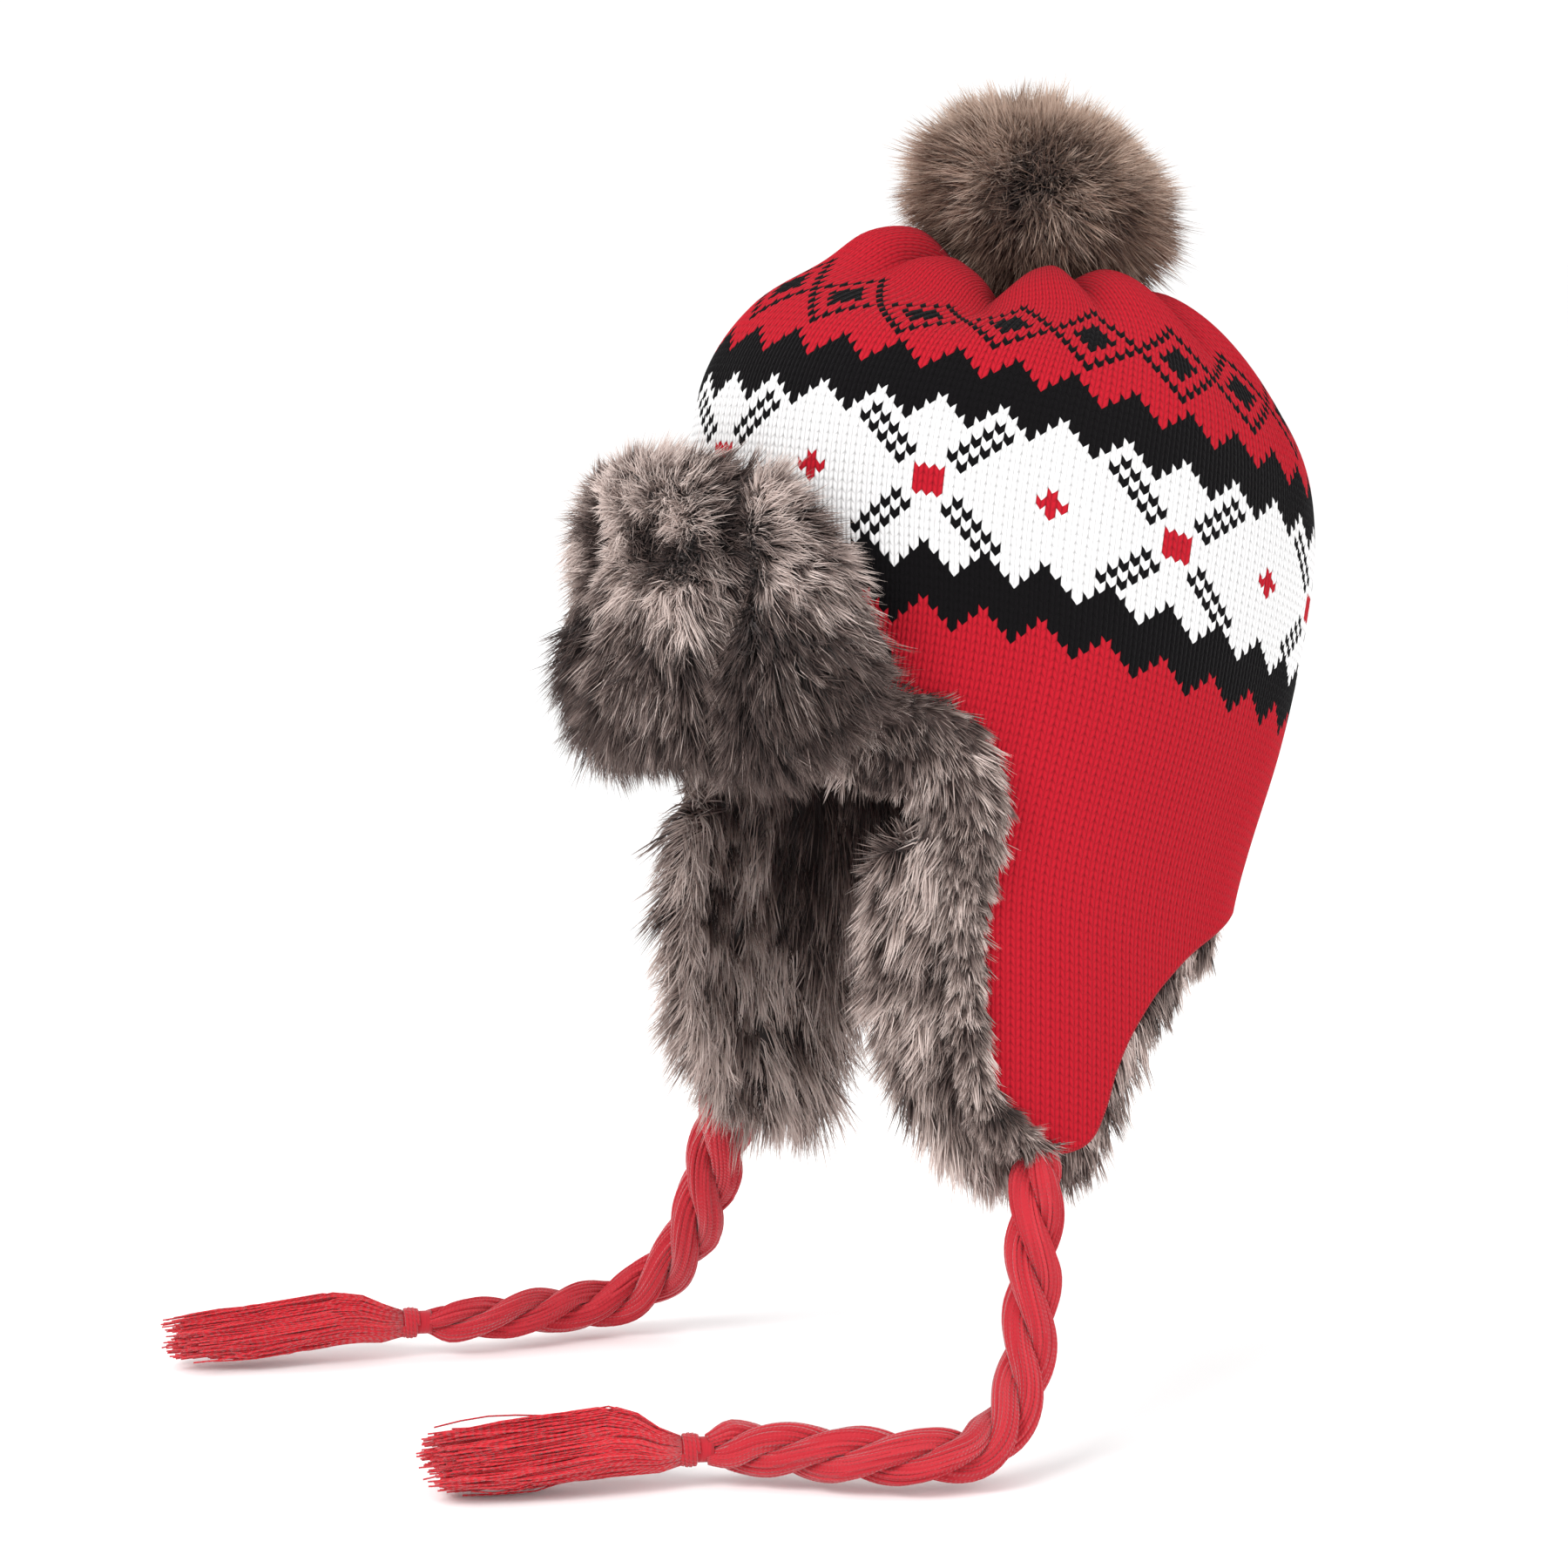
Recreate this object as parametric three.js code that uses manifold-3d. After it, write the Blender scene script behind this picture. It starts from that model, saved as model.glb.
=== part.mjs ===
// A pom-pom earflap hat: a knitted hat of an adult's size with a turned-up fur flap at the brow,
// fur-lined earflaps, a fur pompom and two braided ties with tassels.
// Millimetres, +Z up. The wearer faces -Y and the wearer's left is +X.
// The origin is the middle of the head opening at the brow. The hat is worn leaning back.

import * as THREE from "three";
import { mergeVertices } from "three/addons/utils/BufferGeometryUtils.js";
import Module from "manifold-3d";

const wasm = await Module();
wasm.setup();

// Driving dimensions
const LEAN = THREE.MathUtils.degToRad(18);
const HANG_BEND = 40; // below the brow the earflaps turn from the lean to hang plumb over this height
const KNIT = 3; // the knitted cloth's thickness
const CLEAR = 0.8; // between the knit and what is sewn to it
const FLAP_LOW = -107; // the earflaps' lowest level
const RIGHT_SWING = 9; // how far out the wearer's right earflap swings at its lowest level
const COLUMNS = 66; // round the hat
const FOLDS = 11; // gathers round the tie at the top
const FOLD_START = 0.12; // radians from the front to the first cleft
const BRAID = 19; // the braids' diameter
const SEAM = 0.4; // between a tie's pieces
const WRAP_LONG = 11;
const WRAP_THICK = 15;
const WRAP_TURNS = 3;
const WRAP_DIP = 1.1; // between two turns of its yarn
const TASSEL_HEAD = 7.5; // the radius of the tassel's round head
const HEAD_STRETCH = 1.6; // along the tassel
const POMPOM = { radius: 42.5, flat: 0.7, narrow: 0.16, pile: 8.5, y: -33.5, level: 201 };

// The knitted wall, from the lowest level of the earflaps up the sides and over the top to the tie.
// fold: how far a cleft between two gathers cuts in, as a share of the radius; drop: how far it sinks.
const SECTIONS = [
  { level: -130, width: 87, depth: 104, middle: 0, fold: 0, drop: 0 },
  { level: -80, width: 87, depth: 104, middle: 0, fold: 0, drop: 0 },
  { level: -30, width: 86.5, depth: 104, middle: 0, fold: 0, drop: 0 },
  { level: 8, width: 86.5, depth: 105.5, middle: -0.5, fold: 0, drop: 0 },
  { level: 45, width: 88.5, depth: 110, middle: -3, fold: 0, drop: 0 },
  { level: 80, width: 89, depth: 115.5, middle: -9.5, fold: 0, drop: 0 },
  { level: 112, width: 88, depth: 115, middle: -14, fold: 0, drop: 0 },
  { level: 138, width: 82, depth: 104.5, middle: -15, fold: 0.01, drop: 0 },
  { level: 158, width: 70, depth: 85, middle: -15.5, fold: 0.03, drop: 1 },
  { level: 172, width: 57, depth: 68, middle: -21, fold: 0.08, drop: 4 },
  { level: 178, width: 43, depth: 49.5, middle: -24.5, fold: 0.18, drop: 10 },
  { level: 174, width: 32, depth: 35.5, middle: -26.5, fold: 0.3, drop: 9 },
  { level: 164, width: 20, depth: 21.5, middle: -28.5, fold: 0.4, drop: 5 },
  { level: 156, width: 8, depth: 8, middle: -29, fold: 0.4, drop: 1 },
];
const TOP_RING = 10; // the row of SECTIONS on the crest of the gathers
const CROWN_START = 35; // above this level the wall's columns run straight up

// The knit's lower edge from the middle of the brow to the middle of the nape, in degrees from the front.
// fur: how far the fur lining stands out past that edge; pile: how thick it is inside;
// tuck: how far its edge draws in, clear of the tie sewn there.
const RIM = [
  { angle: 0, level: 0, fur: 1, pile: 8, tuck: 0 },
  { angle: 28, level: 0, fur: 1, pile: 8, tuck: 0 },
  { angle: 48, level: -1, fur: 3, pile: 12, tuck: 0 },
  { angle: 57, level: -6, fur: 14, pile: 18, tuck: 0 },
  { angle: 61, level: -18, fur: 24, pile: 22, tuck: 0 },
  { angle: 62, level: -42, fur: 30, pile: 24, tuck: 0 },
  { angle: 62.5, level: -70, fur: 29, pile: 25, tuck: 0 },
  { angle: 64, level: -90, fur: 25, pile: 25, tuck: 1 },
  { angle: 68, level: -102, fur: 19, pile: 22, tuck: 5 },
  { angle: 74, level: -107, fur: 14, pile: 17, tuck: 10 },
  { angle: 81, level: -107, fur: 13, pile: 17, tuck: 10 },
  { angle: 87, level: -101, fur: 11, pile: 23, tuck: 6 },
  { angle: 90.5, level: -89, fur: 10, pile: 26, tuck: 1 },
  { angle: 93, level: -76, fur: 10, pile: 26, tuck: 0 },
  { angle: 98, level: -60, fur: 10, pile: 24, tuck: 0 },
  { angle: 107, level: -42, fur: 10, pile: 20, tuck: 0 },
  { angle: 122, level: -25, fur: 9, pile: 19, tuck: 0 },
  { angle: 148, level: -11, fur: 8, pile: 19, tuck: 0 },
  { angle: 180, level: -8, fur: 7, pile: 19, tuck: 0 },
];

// The ties' routes, from under the earflap to the floor and along it to the binding.
const BRAID_LEFT = [
  [84, -29, -101.3],
  [84, -30.5, -116],
  [84.5, -32, -131],
  [86, -33.5, -147],
  [88, -36.5, -163],
  [91, -42, -177],
  [94, -51, -187.5],
  [95, -62, -193],
  [92, -74, -193.5],
  [86, -85, -193.5],
  [77.5, -94.5, -193.5],
  [67.5, -103, -193.5],
  [58, -111, -193.5],
  [49.5, -119.5, -193.5],
  [44, -130.5, -193.5],
];
const BRAID_RIGHT = [
  [-92.5, -29, -101.2],
  [-94, -31, -116],
  [-97, -33.5, -130],
  [-101, -35, -144],
  [-106.5, -36, -158],
  [-114, -37.5, -171],
  [-123, -41, -182],
  [-130.5, -48, -190],
  [-135.5, -59, -193.5],
  [-137.5, -71.5, -193.5],
  [-138, -83, -193.5],
  [-138.5, -94, -193.5],
  [-140, -105, -193.5],
  [-143, -115.5, -193.5],
  [-147, -125, -193.5],
];

// The brim flap's rounds, from the fold at the brow up behind it, over its top and down its face.
// stand: how far it stands off the crown there; locked: whether fur locks grow on the cells below.
const BRIM_ROUND = [
  { stand: 0.5, level: -2, locked: 0 },
  { stand: 1.5, level: 26, locked: 0 },
  { stand: 5, level: 54, locked: 0 },
  { stand: 9, level: 76, locked: 0 },
  { stand: 21, level: 82, locked: 1 },
  { stand: 32, level: 73, locked: 1 },
  { stand: 37, level: 53, locked: 1 },
  { stand: 38, level: 31, locked: 1 },
  { stand: 36, level: 10, locked: 1 },
  { stand: 27, level: -8, locked: 1 },
  { stand: 13, level: -12, locked: 0 },
];
const BRIM_ANGLES = [0, 4.5, 9, 13.5, 17.5, 21.5, 26, 31.5, 36.5, 40, 42];
const BRIM_MIDDLE = { stand: 16, level: 34 }; // what its ends draw in to
const BRIM_GROOVE = { angle: 17.5, spread: 3.4, deep: 11 }; // a crease on each side of the middle
const BRIM_DIMPLE = { level: 47, rise: 9, spread: 7, deep: 12 };

// Fur locks: how far they reach out of the pile, and along it down the pile.
const LINING_LOCK = { out: 5, vary: 1.5, lie: 4 };
const BRIM_LOCK = { out: 8, lie: 5 };
const LOCK_WAIST = 0.62; // a lock's width halfway up, as a share of its foot
const POMPOM_BANDS = 8;
const POMPOM_ROUND = 13;

// Materials
const knitRed = new THREE.MeshStandardMaterial({ color: 0xc4182a, roughness: 0.95, metalness: 0 });
const braidRed = new THREE.MeshStandardMaterial({ color: 0xc01f2c, roughness: 0.95, metalness: 0 });
const fur = new THREE.MeshStandardMaterial({ color: 0x84746c, roughness: 1, metalness: 0 });
const furDark = new THREE.MeshStandardMaterial({ color: 0x6b5a52, roughness: 1, metalness: 0 });

// Small helpers
const lerp = THREE.MathUtils.lerp;
const radians = THREE.MathUtils.degToRad;

// A smooth curve through a table's rows. Row numbers run from 0, and `at` may fall between two.
function along(table, at) {
  const i = Math.min(Math.max(Math.floor(at), 0), table.length - 2);
  const t = at - i;
  const [p, a, b, q] = [i - 1, i, i + 1, i + 2].map((n) => table[Math.min(Math.max(n, 0), table.length - 1)]);
  const row = {};
  for (const key of Object.keys(a)) {
    const leave = (b[key] - p[key]) / 2;
    const arrive = (q[key] - a[key]) / 2;
    const rise = b[key] - a[key];
    row[key] = a[key] + t * (leave + t * (3 * rise - 2 * leave - arrive + t * (leave + arrive - 2 * rise)));
  }
  return row;
}

// The place in SECTIONS of a level on the sides, below the crest.
function stepAt(level) {
  let low = 0;
  let high = TOP_RING;
  for (let i = 0; i < 40; i++) {
    const middle = (low + high) / 2;
    if (along(SECTIONS, middle).level < level) low = middle;
    else high = middle;
  }
  return low;
}

// A place given across, along and up the worn hat, in the part's frame.
// Above the brow all of it leans; below, what hangs turns plumb.
function place(x, y, level) {
  const down = Math.min(Math.max(-level, 0), HANG_BEND);
  const shift = level > 0 ? level * Math.sin(LEAN) : -LEAN * (down - down ** 2 / (2 * HANG_BEND));
  const rise = level > 0 ? level * Math.cos(LEAN) : level;
  const swing = x < 0 ? RIGHT_SWING * THREE.MathUtils.clamp(level / FLAP_LOW, 0, 1) : 0;
  return new THREE.Vector3(x - swing, y * Math.cos(LEAN) + shift, rise - y * Math.sin(LEAN));
}

// 0 on a gather's crest and 1 in the cleft beside it.
function cleft(angle) {
  return (1 - Math.abs(Math.sin((FOLDS * (angle - FOLD_START)) / 2))) ** 1.4;
}

// A point of the wall at an angle from the front, a place in SECTIONS and a depth below the outside.
function wallPoint(angle, step, inset, crease) {
  const row = along(SECTIONS, step);
  const keep = 1 - row.fold * crease;
  const x = (row.width * keep - inset) * Math.sin(angle);
  const y = row.middle - (row.depth * keep - inset) * Math.cos(angle);
  return [x, y, row.level - row.drop * crease];
}

// Collects corners and faces of one closed skin.
class Skin {
  corners = [];
  faces = [];

  add(point) {
    this.corners.push(point.x, point.y, point.z);
    return this.corners.length / 3 - 1;
  }

  at(index) {
    return new THREE.Vector3().fromArray(this.corners, 3 * index);
  }

  quad(a, b, c, d) {
    this.faces.push(a, b, c, a, c, d);
  }

  middleOf(corners) {
    return corners.reduce((sum, i) => sum.add(this.at(i)), new THREE.Vector3()).divideScalar(corners.length);
  }

  // A pointed lock on a cell's corners, which run anticlockwise seen from outside.
  lock(cell, axis) {
    const middle = this.middleOf(cell);
    const half = middle.clone().addScaledVector(axis, 0.5);
    const ring = cell.map((i) => this.add(this.at(i).sub(middle).multiplyScalar(LOCK_WAIST).add(half)));
    const tip = this.add(middle.clone().add(axis));
    cell.forEach((corner, i) => {
      const j = (i + 1) % cell.length;
      this.quad(corner, cell[j], ring[j], ring[i]);
      this.faces.push(ring[i], ring[j], tip);
    });
  }

  // A plain pointed lock with no waist.
  tuft(cell, axis) {
    const tip = this.add(this.middleOf(cell).add(axis));
    cell.forEach((corner, i) => this.faces.push(corner, cell[(i + 1) % cell.length], tip));
  }

  geometry() {
    const made = new THREE.BufferGeometry();
    made.setAttribute("position", new THREE.Float32BufferAttribute(this.corners, 3));
    made.setIndex(this.faces);
    made.computeVertexNormals();
    return made;
  }
}

function named(name, geometry, material) {
  const mesh = new THREE.Mesh(geometry, material);
  mesh.name = name;
  return mesh;
}

// The knit's lower edge as points spread evenly along it: the angle in radians, the level, and fur and pile.
function rimPoints() {
  const fine = [];
  for (let at = 0; at <= RIM.length - 1 + 1e-9; at += 0.1) fine.push(along(RIM, at));
  const reach = SECTIONS[3];
  const lengths = [0];
  for (let i = 1; i < fine.length; i++) {
    const turn = radians(fine[i].angle - fine[i - 1].angle);
    const facing = radians(fine[i].angle);
    const round = turn * Math.hypot(reach.width * Math.cos(facing), reach.depth * Math.sin(facing));
    lengths.push(lengths[i - 1] + Math.hypot(round, fine[i].level - fine[i - 1].level));
  }
  const total = lengths[lengths.length - 1];
  return (share) => {
    const want = share * total;
    const after = lengths.findIndex((n) => n > want);
    const i = after < 0 ? fine.length - 1 : after;
    const t = (want - lengths[i - 1]) / (lengths[i] - lengths[i - 1]);
    const [a, b] = [fine[i - 1], fine[i]];
    return {
      angle: radians(lerp(a.angle, b.angle, t)),
      level: lerp(a.level, b.level, t),
      fur: lerp(a.fur, b.fur, t),
      pile: lerp(a.pile, b.pile, t),
      tuck: lerp(a.tuck, b.tuck, t),
      out: outward(a, b, reach),
    };
  };
}

// The way out of the cloth at its edge, round the hat and up.
function outward(a, b, reach) {
  const facing = radians((a.angle + b.angle) / 2);
  const radius = Math.hypot(reach.width * Math.cos(facing), reach.depth * Math.sin(facing));
  const round = radians(b.angle - a.angle) * radius;
  const rise = b.level - a.level;
  const size = Math.hypot(round, rise);
  return { round: rise / size, rise: -round / size };
}

const rimShare = rimPoints();

// The column's place at the edge, mirrored on the wearer's right.
function rimOf(column) {
  const share = (2 * column) / COLUMNS;
  const mirrored = share > 1;
  const found = rimShare(mirrored ? 2 - share : share);
  if (!mirrored) return found;
  const out = { round: -found.out.round, rise: found.out.rise };
  return { ...found, angle: 2 * Math.PI - found.angle, out };
}

// A point on the wall's skirt: down is 0 at CROWN_START and 1 at the edge.
// past is millimetres beyond the edge, straight on from it.
function skirtPoint(column, down, inset, past = 0) {
  const rim = rimOf(column);
  const angle = lerp((2 * Math.PI * column) / COLUMNS, rim.angle, down);
  const level = lerp(CROWN_START, rim.level, down) + past * rim.out.rise;
  const row = along(SECTIONS, stepAt(level));
  const [sin, cos] = [Math.sin(angle), Math.cos(angle)];
  const tangent = past * rim.out.round / Math.hypot(row.width * cos, row.depth * sin);
  const x = (row.width - inset) * sin + tangent * row.width * cos;
  const y = row.middle - (row.depth - inset) * cos + tangent * row.depth * sin;
  return place(x, y, level);
}

// Joins two rings of corners of equal length.
function joinRings(skin, above, below) {
  above.forEach((corner, i) => {
    const j = (i + 1) % above.length;
    skin.quad(corner, below[i], below[j], above[j]);
  });
}

function ringOf(skin, count, point) {
  return Array.from({ length: count }, (_, i) => skin.add(point(i)));
}

// The rows on the wall's inside, from the edge up to CROWN_START.
const INNER_DOWNS = [1, 0.8, 0.55, 0.28, 0];

// The knitted crown, earflaps and nape in one cloth, gathered at the top.
function knitShell() {
  const skin = new Skin();
  const last = SECTIONS.length - 1;
  const start = stepAt(CROWN_START);
  const outerSteps = [last, 12, 11.4, 10.8, 10.3, 9.8, 9.3, 8.7, 8, 7.3, 6.6, 5.8, 5, start];
  const outerDowns = [0.22, 0.45, 0.65, 0.82, 0.92, 1];
  const innerSteps = [start, 5, 6, 7, 8, 9, 9.7];
  const rings = [];
  for (const step of outerSteps) {
    const ring = (i) => {
      const angle = (2 * Math.PI * i) / COLUMNS;
      return place(...wallPoint(angle, step, 0, cleft(angle)));
    };
    rings.push(ringOf(skin, COLUMNS, ring));
  }
  for (const down of outerDowns) rings.push(ringOf(skin, COLUMNS, (i) => skirtPoint(i, down, 0)));
  for (const down of INNER_DOWNS.slice(0, -1)) {
    rings.push(ringOf(skin, COLUMNS, (i) => skirtPoint(i, down, KNIT)));
  }
  for (const step of innerSteps) {
    const sink = KNIT * THREE.MathUtils.smoothstep(step, 6, 9.7);
    const ring = (i) => {
      const [x, y, level] = wallPoint((2 * Math.PI * i) / COLUMNS, step, KNIT, 1);
      return place(x, y, level - sink);
    };
    rings.push(ringOf(skin, COLUMNS, ring));
  }
  for (let i = 1; i < rings.length; i++) joinRings(skin, rings[i - 1], rings[i]);
  const tie = SECTIONS[last];
  closeRing(skin, rings[0], place(0, tie.middle, tie.level - 2), false);
  closeRing(skin, rings[rings.length - 1], place(0, tie.middle, tie.level - 9), true);
  return named("knit_shell", skin.geometry(), knitRed);
}

// Closes a ring of corners on one point.
function closeRing(skin, ring, point, turned) {
  const middle = skin.add(point);
  ring.forEach((corner, i) => {
    const next = ring[(i + 1) % ring.length];
    if (turned) skin.faces.push(middle, next, corner);
    else skin.faces.push(middle, corner, next);
  });
}

// The pile's rows from the edge round and up inside: thick and past are shares of the pile and the fur in RIM.
const LINING_ROWS = [
  { down: 1, thick: 0.05, past: 1 },
  { down: 1, thick: 0.55, past: 1 },
  { down: 0.97, thick: 0.6, past: 0 },
  { down: 0.78, thick: 0.66, past: 0 },
  { down: 0.59, thick: 0.66, past: 0 },
  { down: 0.4, thick: 0.63, past: 0 },
  { down: 0.2, thick: 0.56, past: 0 },
  { down: 0.03, thick: 0.32, past: 0 },
];

// The fur lining: a backing along the knit's inside, out past its edge, with pointed locks inside.
function furLining() {
  const skin = new Skin();
  const back = KNIT + CLEAR;
  const rows = [...INNER_DOWNS.toReversed().map((down) => ({ down, thick: 0, past: 0 })), ...LINING_ROWS];
  const rings = rows.map(({ down, thick, past }) => {
    return ringOf(skin, COLUMNS, (i) => {
      const rim = rimOf(i);
      const tucked = rim.tuck * THREE.MathUtils.smoothstep(down, 0.8, 1);
      return skirtPoint(i, down, back + tucked + thick * rim.pile, past * rim.fur);
    });
  });
  const plain = INNER_DOWNS.length;
  for (let i = 1; i <= plain; i++) joinRings(skin, rings[i - 1], rings[i]);
  for (let i = plain + 1; i < rings.length; i++) lockBand(skin, rings[i - 1], rings[i], i);
  joinRings(skin, rings[rings.length - 1], rings[0]);
  return named("fur_lining", skin.geometry(), fur);
}

// Locks over two columns each between two rings, leaning down the pile.
function lockBand(skin, above, below, row) {
  const count = above.length;
  const offset = row % 2;
  for (let i = offset; i < count + offset; i += 2) {
    const [a, b, c] = [i, i + 1, i + 2].map((n) => n % count);
    const cell = [above[a], below[a], below[b], below[c], above[c], above[b]];
    const [p, q, r] = [skin.at(above[a]), skin.at(below[b]), skin.at(above[c])];
    const across = r.clone().sub(p);
    const down = p.clone().add(r).multiplyScalar(0.5).sub(q);
    const out = down.clone().cross(across).normalize().negate();
    const reach = LINING_LOCK.out + LINING_LOCK.vary * Math.sin(3 * i + row);
    const axis = out.multiplyScalar(reach).addScaledVector(down.normalize(), LINING_LOCK.lie);
    skin.tuft(cell, axis);
  }
}

// How much of its full section the brim flap keeps towards its ends.
function brimFull(angle) {
  const share = Math.abs(angle) / BRIM_ANGLES[BRIM_ANGLES.length - 1];
  return Math.sqrt(Math.max(1 - share ** 5, 0.02));
}

// A point of the brim flap: its section draws in towards its own middle at the ends.
function brimPoint(angle, row) {
  const full = brimFull(angle);
  const aside = (Math.abs(angle) - BRIM_GROOVE.angle) / BRIM_GROOVE.spread;
  const groove = BRIM_GROOVE.deep * Math.exp(-(aside ** 2));
  const tucked = ((row.level - BRIM_DIMPLE.level) / BRIM_DIMPLE.rise) ** 2 + (angle / BRIM_DIMPLE.spread) ** 2;
  const face = THREE.MathUtils.smoothstep(row.stand, 12, 34);
  const press = face * (groove + BRIM_DIMPLE.deep * Math.exp(-tucked));
  const stand = lerp(BRIM_MIDDLE.stand, row.stand, 0.35 + 0.65 * full) - press * full;
  const level = lerp(BRIM_MIDDLE.level, row.level, full);
  const wall = along(SECTIONS, stepAt(level));
  const turn = radians(angle);
  const ahead = (wall.depth + stand) * Math.cos(turn);
  return place((wall.width + stand) * Math.sin(turn), wall.middle - ahead, level);
}

// The turned-up flap at the brow, with its fur outside.
function brimFlap() {
  const skin = new Skin();
  const angles = [...BRIM_ANGLES.slice(1).reverse().map((n) => -n), ...BRIM_ANGLES];
  const rings = angles.map((angle) => BRIM_ROUND.map((row) => skin.add(brimPoint(angle, row))));
  const count = BRIM_ROUND.length;
  for (let i = 1; i < rings.length; i++) {
    for (let k = 0; k < count; k++) {
      const n = (k + 1) % count;
      const cell = [rings[i - 1][k], rings[i - 1][n], rings[i][n], rings[i][k]];
      if (BRIM_ROUND[k].locked) skin.lock(cell, furAxis(skin, cell, BRIM_LOCK.out, BRIM_LOCK.lie));
      else skin.quad(...cell);
    }
  }
  closeRing(skin, rings[0], skin.middleOf(rings[0]), true);
  closeRing(skin, rings[rings.length - 1], skin.middleOf(rings[rings.length - 1]), false);
  return named("brim_flap", skin.geometry(), fur);
}

// A lock's lean: out of its cell by `out` and along the cell's first edge by `lie`.
function furAxis(skin, cell, out, lie) {
  const [a, b, , d] = cell.map((corner) => skin.at(corner));
  const down = b.sub(a);
  const across = d.sub(a);
  const outside = down.clone().cross(across).normalize();
  const wander = Math.sin(cell[0] * 12.9) * 2;
  outside.multiplyScalar(out).addScaledVector(down.normalize(), lie);
  return outside.addScaledVector(across.normalize(), wander);
}

// The fur pompom: a ball of locks, drawn in below to the tie between the gathers.
function pompom() {
  const skin = new Skin();
  const top = skin.add(new THREE.Vector3(0, 0, POMPOM.radius * POMPOM.flat + 2));
  const rings = [];
  for (let band = 1; band <= POMPOM_BANDS; band++) {
    const fall = (Math.PI * band) / (POMPOM_BANDS + 1);
    const narrow = 1 - POMPOM.narrow * THREE.MathUtils.smoothstep(fall, 1.7, 2.5);
    const radius = POMPOM.radius * narrow;
    const ring = (i) => {
      const turn = (2 * Math.PI * (i + band / 2)) / POMPOM_ROUND;
      const out = radius * Math.sin(fall);
      const up = radius * Math.cos(fall) * POMPOM.flat;
      return new THREE.Vector3(out * Math.cos(turn), out * Math.sin(turn), up);
    };
    rings.push(ringOf(skin, POMPOM_ROUND, ring));
  }
  rings[0].forEach((corner, i) => {
    const cell = [top, corner, rings[0][(i + 1) % POMPOM_ROUND]];
    skin.tuft(cell, skin.at(corner).normalize().multiplyScalar(POMPOM.pile * 0.7));
  });
  for (let band = 1; band < POMPOM_BANDS; band++) {
    for (let i = 0; i < POMPOM_ROUND; i++) {
      const j = (i + 1) % POMPOM_ROUND;
      const cell = [rings[band - 1][i], rings[band][i], rings[band][j], rings[band - 1][j]];
      const free = 1 - 0.8 * THREE.MathUtils.smoothstep(band, POMPOM_BANDS - 4, POMPOM_BANDS - 1);
      skin.lock(cell, furAxis(skin, cell, POMPOM.pile * free, 2 * free));
    }
  }
  const tie = SECTIONS[SECTIONS.length - 1];
  const foot = new THREE.Vector3(0, tie.middle - POMPOM.y, tie.level - 1.5 - POMPOM.level);
  closeRing(skin, rings[POMPOM_BANDS - 1], foot, true);
  const mesh = named("pompom", skin.geometry(), furDark);
  mesh.rotation.x = -LEAN;
  mesh.position.copy(place(0, POMPOM.y, POMPOM.level));
  return mesh;
}

// A tie's plain body along its route.
function braid(name, route) {
  const path = new THREE.CatmullRomCurve3(route.map((p) => new THREE.Vector3(...p)), false, "centripetal");
  const sides = 9;
  const corner = (_, i) => {
    const turn = (2 * Math.PI * i) / sides;
    return new THREE.Vector2((BRAID / 2) * Math.cos(turn), (BRAID / 2) * Math.sin(turn));
  };
  const section = new THREE.Shape(Array.from({ length: sides }, corner));
  const made = new THREE.ExtrudeGeometry(section, { steps: 21, extrudePath: path, bevelEnabled: false });
  return named(name, made, braidRed);
}

// Turns a group so that its +X runs on from the end of a route, set off by a gap.
function atEnd(route, beyond) {
  const [from, to] = route.slice(-2).map((p) => new THREE.Vector3(...p));
  const ahead = to.clone().sub(from).setZ(0).normalize();
  const holder = new THREE.Group();
  holder.quaternion.setFromUnitVectors(new THREE.Vector3(1, 0, 0), ahead);
  holder.position.copy(to).addScaledVector(ahead, beyond);
  return holder;
}

// The yarn wound round a tie's end.
function wrap(name) {
  const pitch = WRAP_LONG / WRAP_TURNS;
  const profile = [new THREE.Vector2(0, 0)];
  for (let i = 0; i < WRAP_TURNS; i++) {
    profile.push(new THREE.Vector2(WRAP_THICK / 2 - WRAP_DIP, i * pitch + (i ? 0 : 0.2)));
    profile.push(new THREE.Vector2(WRAP_THICK / 2, (i + 0.5) * pitch));
  }
  profile.push(new THREE.Vector2(WRAP_THICK / 2 - WRAP_DIP, WRAP_LONG - 0.2));
  profile.push(new THREE.Vector2(0, WRAP_LONG));
  const mesh = named(name, new THREE.LatheGeometry(profile, 12), braidRed);
  mesh.rotation.z = -Math.PI / 2;
  return mesh;
}

// A geometry's shape as a solid that can be joined.
function solidOf(geometry) {
  const bare = geometry.clone();
  bare.deleteAttribute("normal");
  bare.deleteAttribute("uv");
  const merged = mergeVertices(bare, 1e-4);
  const mesh = new wasm.Mesh({
    numProp: 3,
    vertProperties: merged.attributes.position.array,
    triVerts: new Uint32Array(merged.index.array),
  });
  return new wasm.Manifold(mesh);
}

function geometryOf(solid) {
  const mesh = solid.getMesh();
  const made = new THREE.BufferGeometry();
  made.setAttribute("position", new THREE.Float32BufferAttribute(mesh.vertProperties, 3));
  made.setIndex(new THREE.Uint32BufferAttribute(mesh.triVerts, 1));
  made.computeVertexNormals();
  return made;
}

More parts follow.
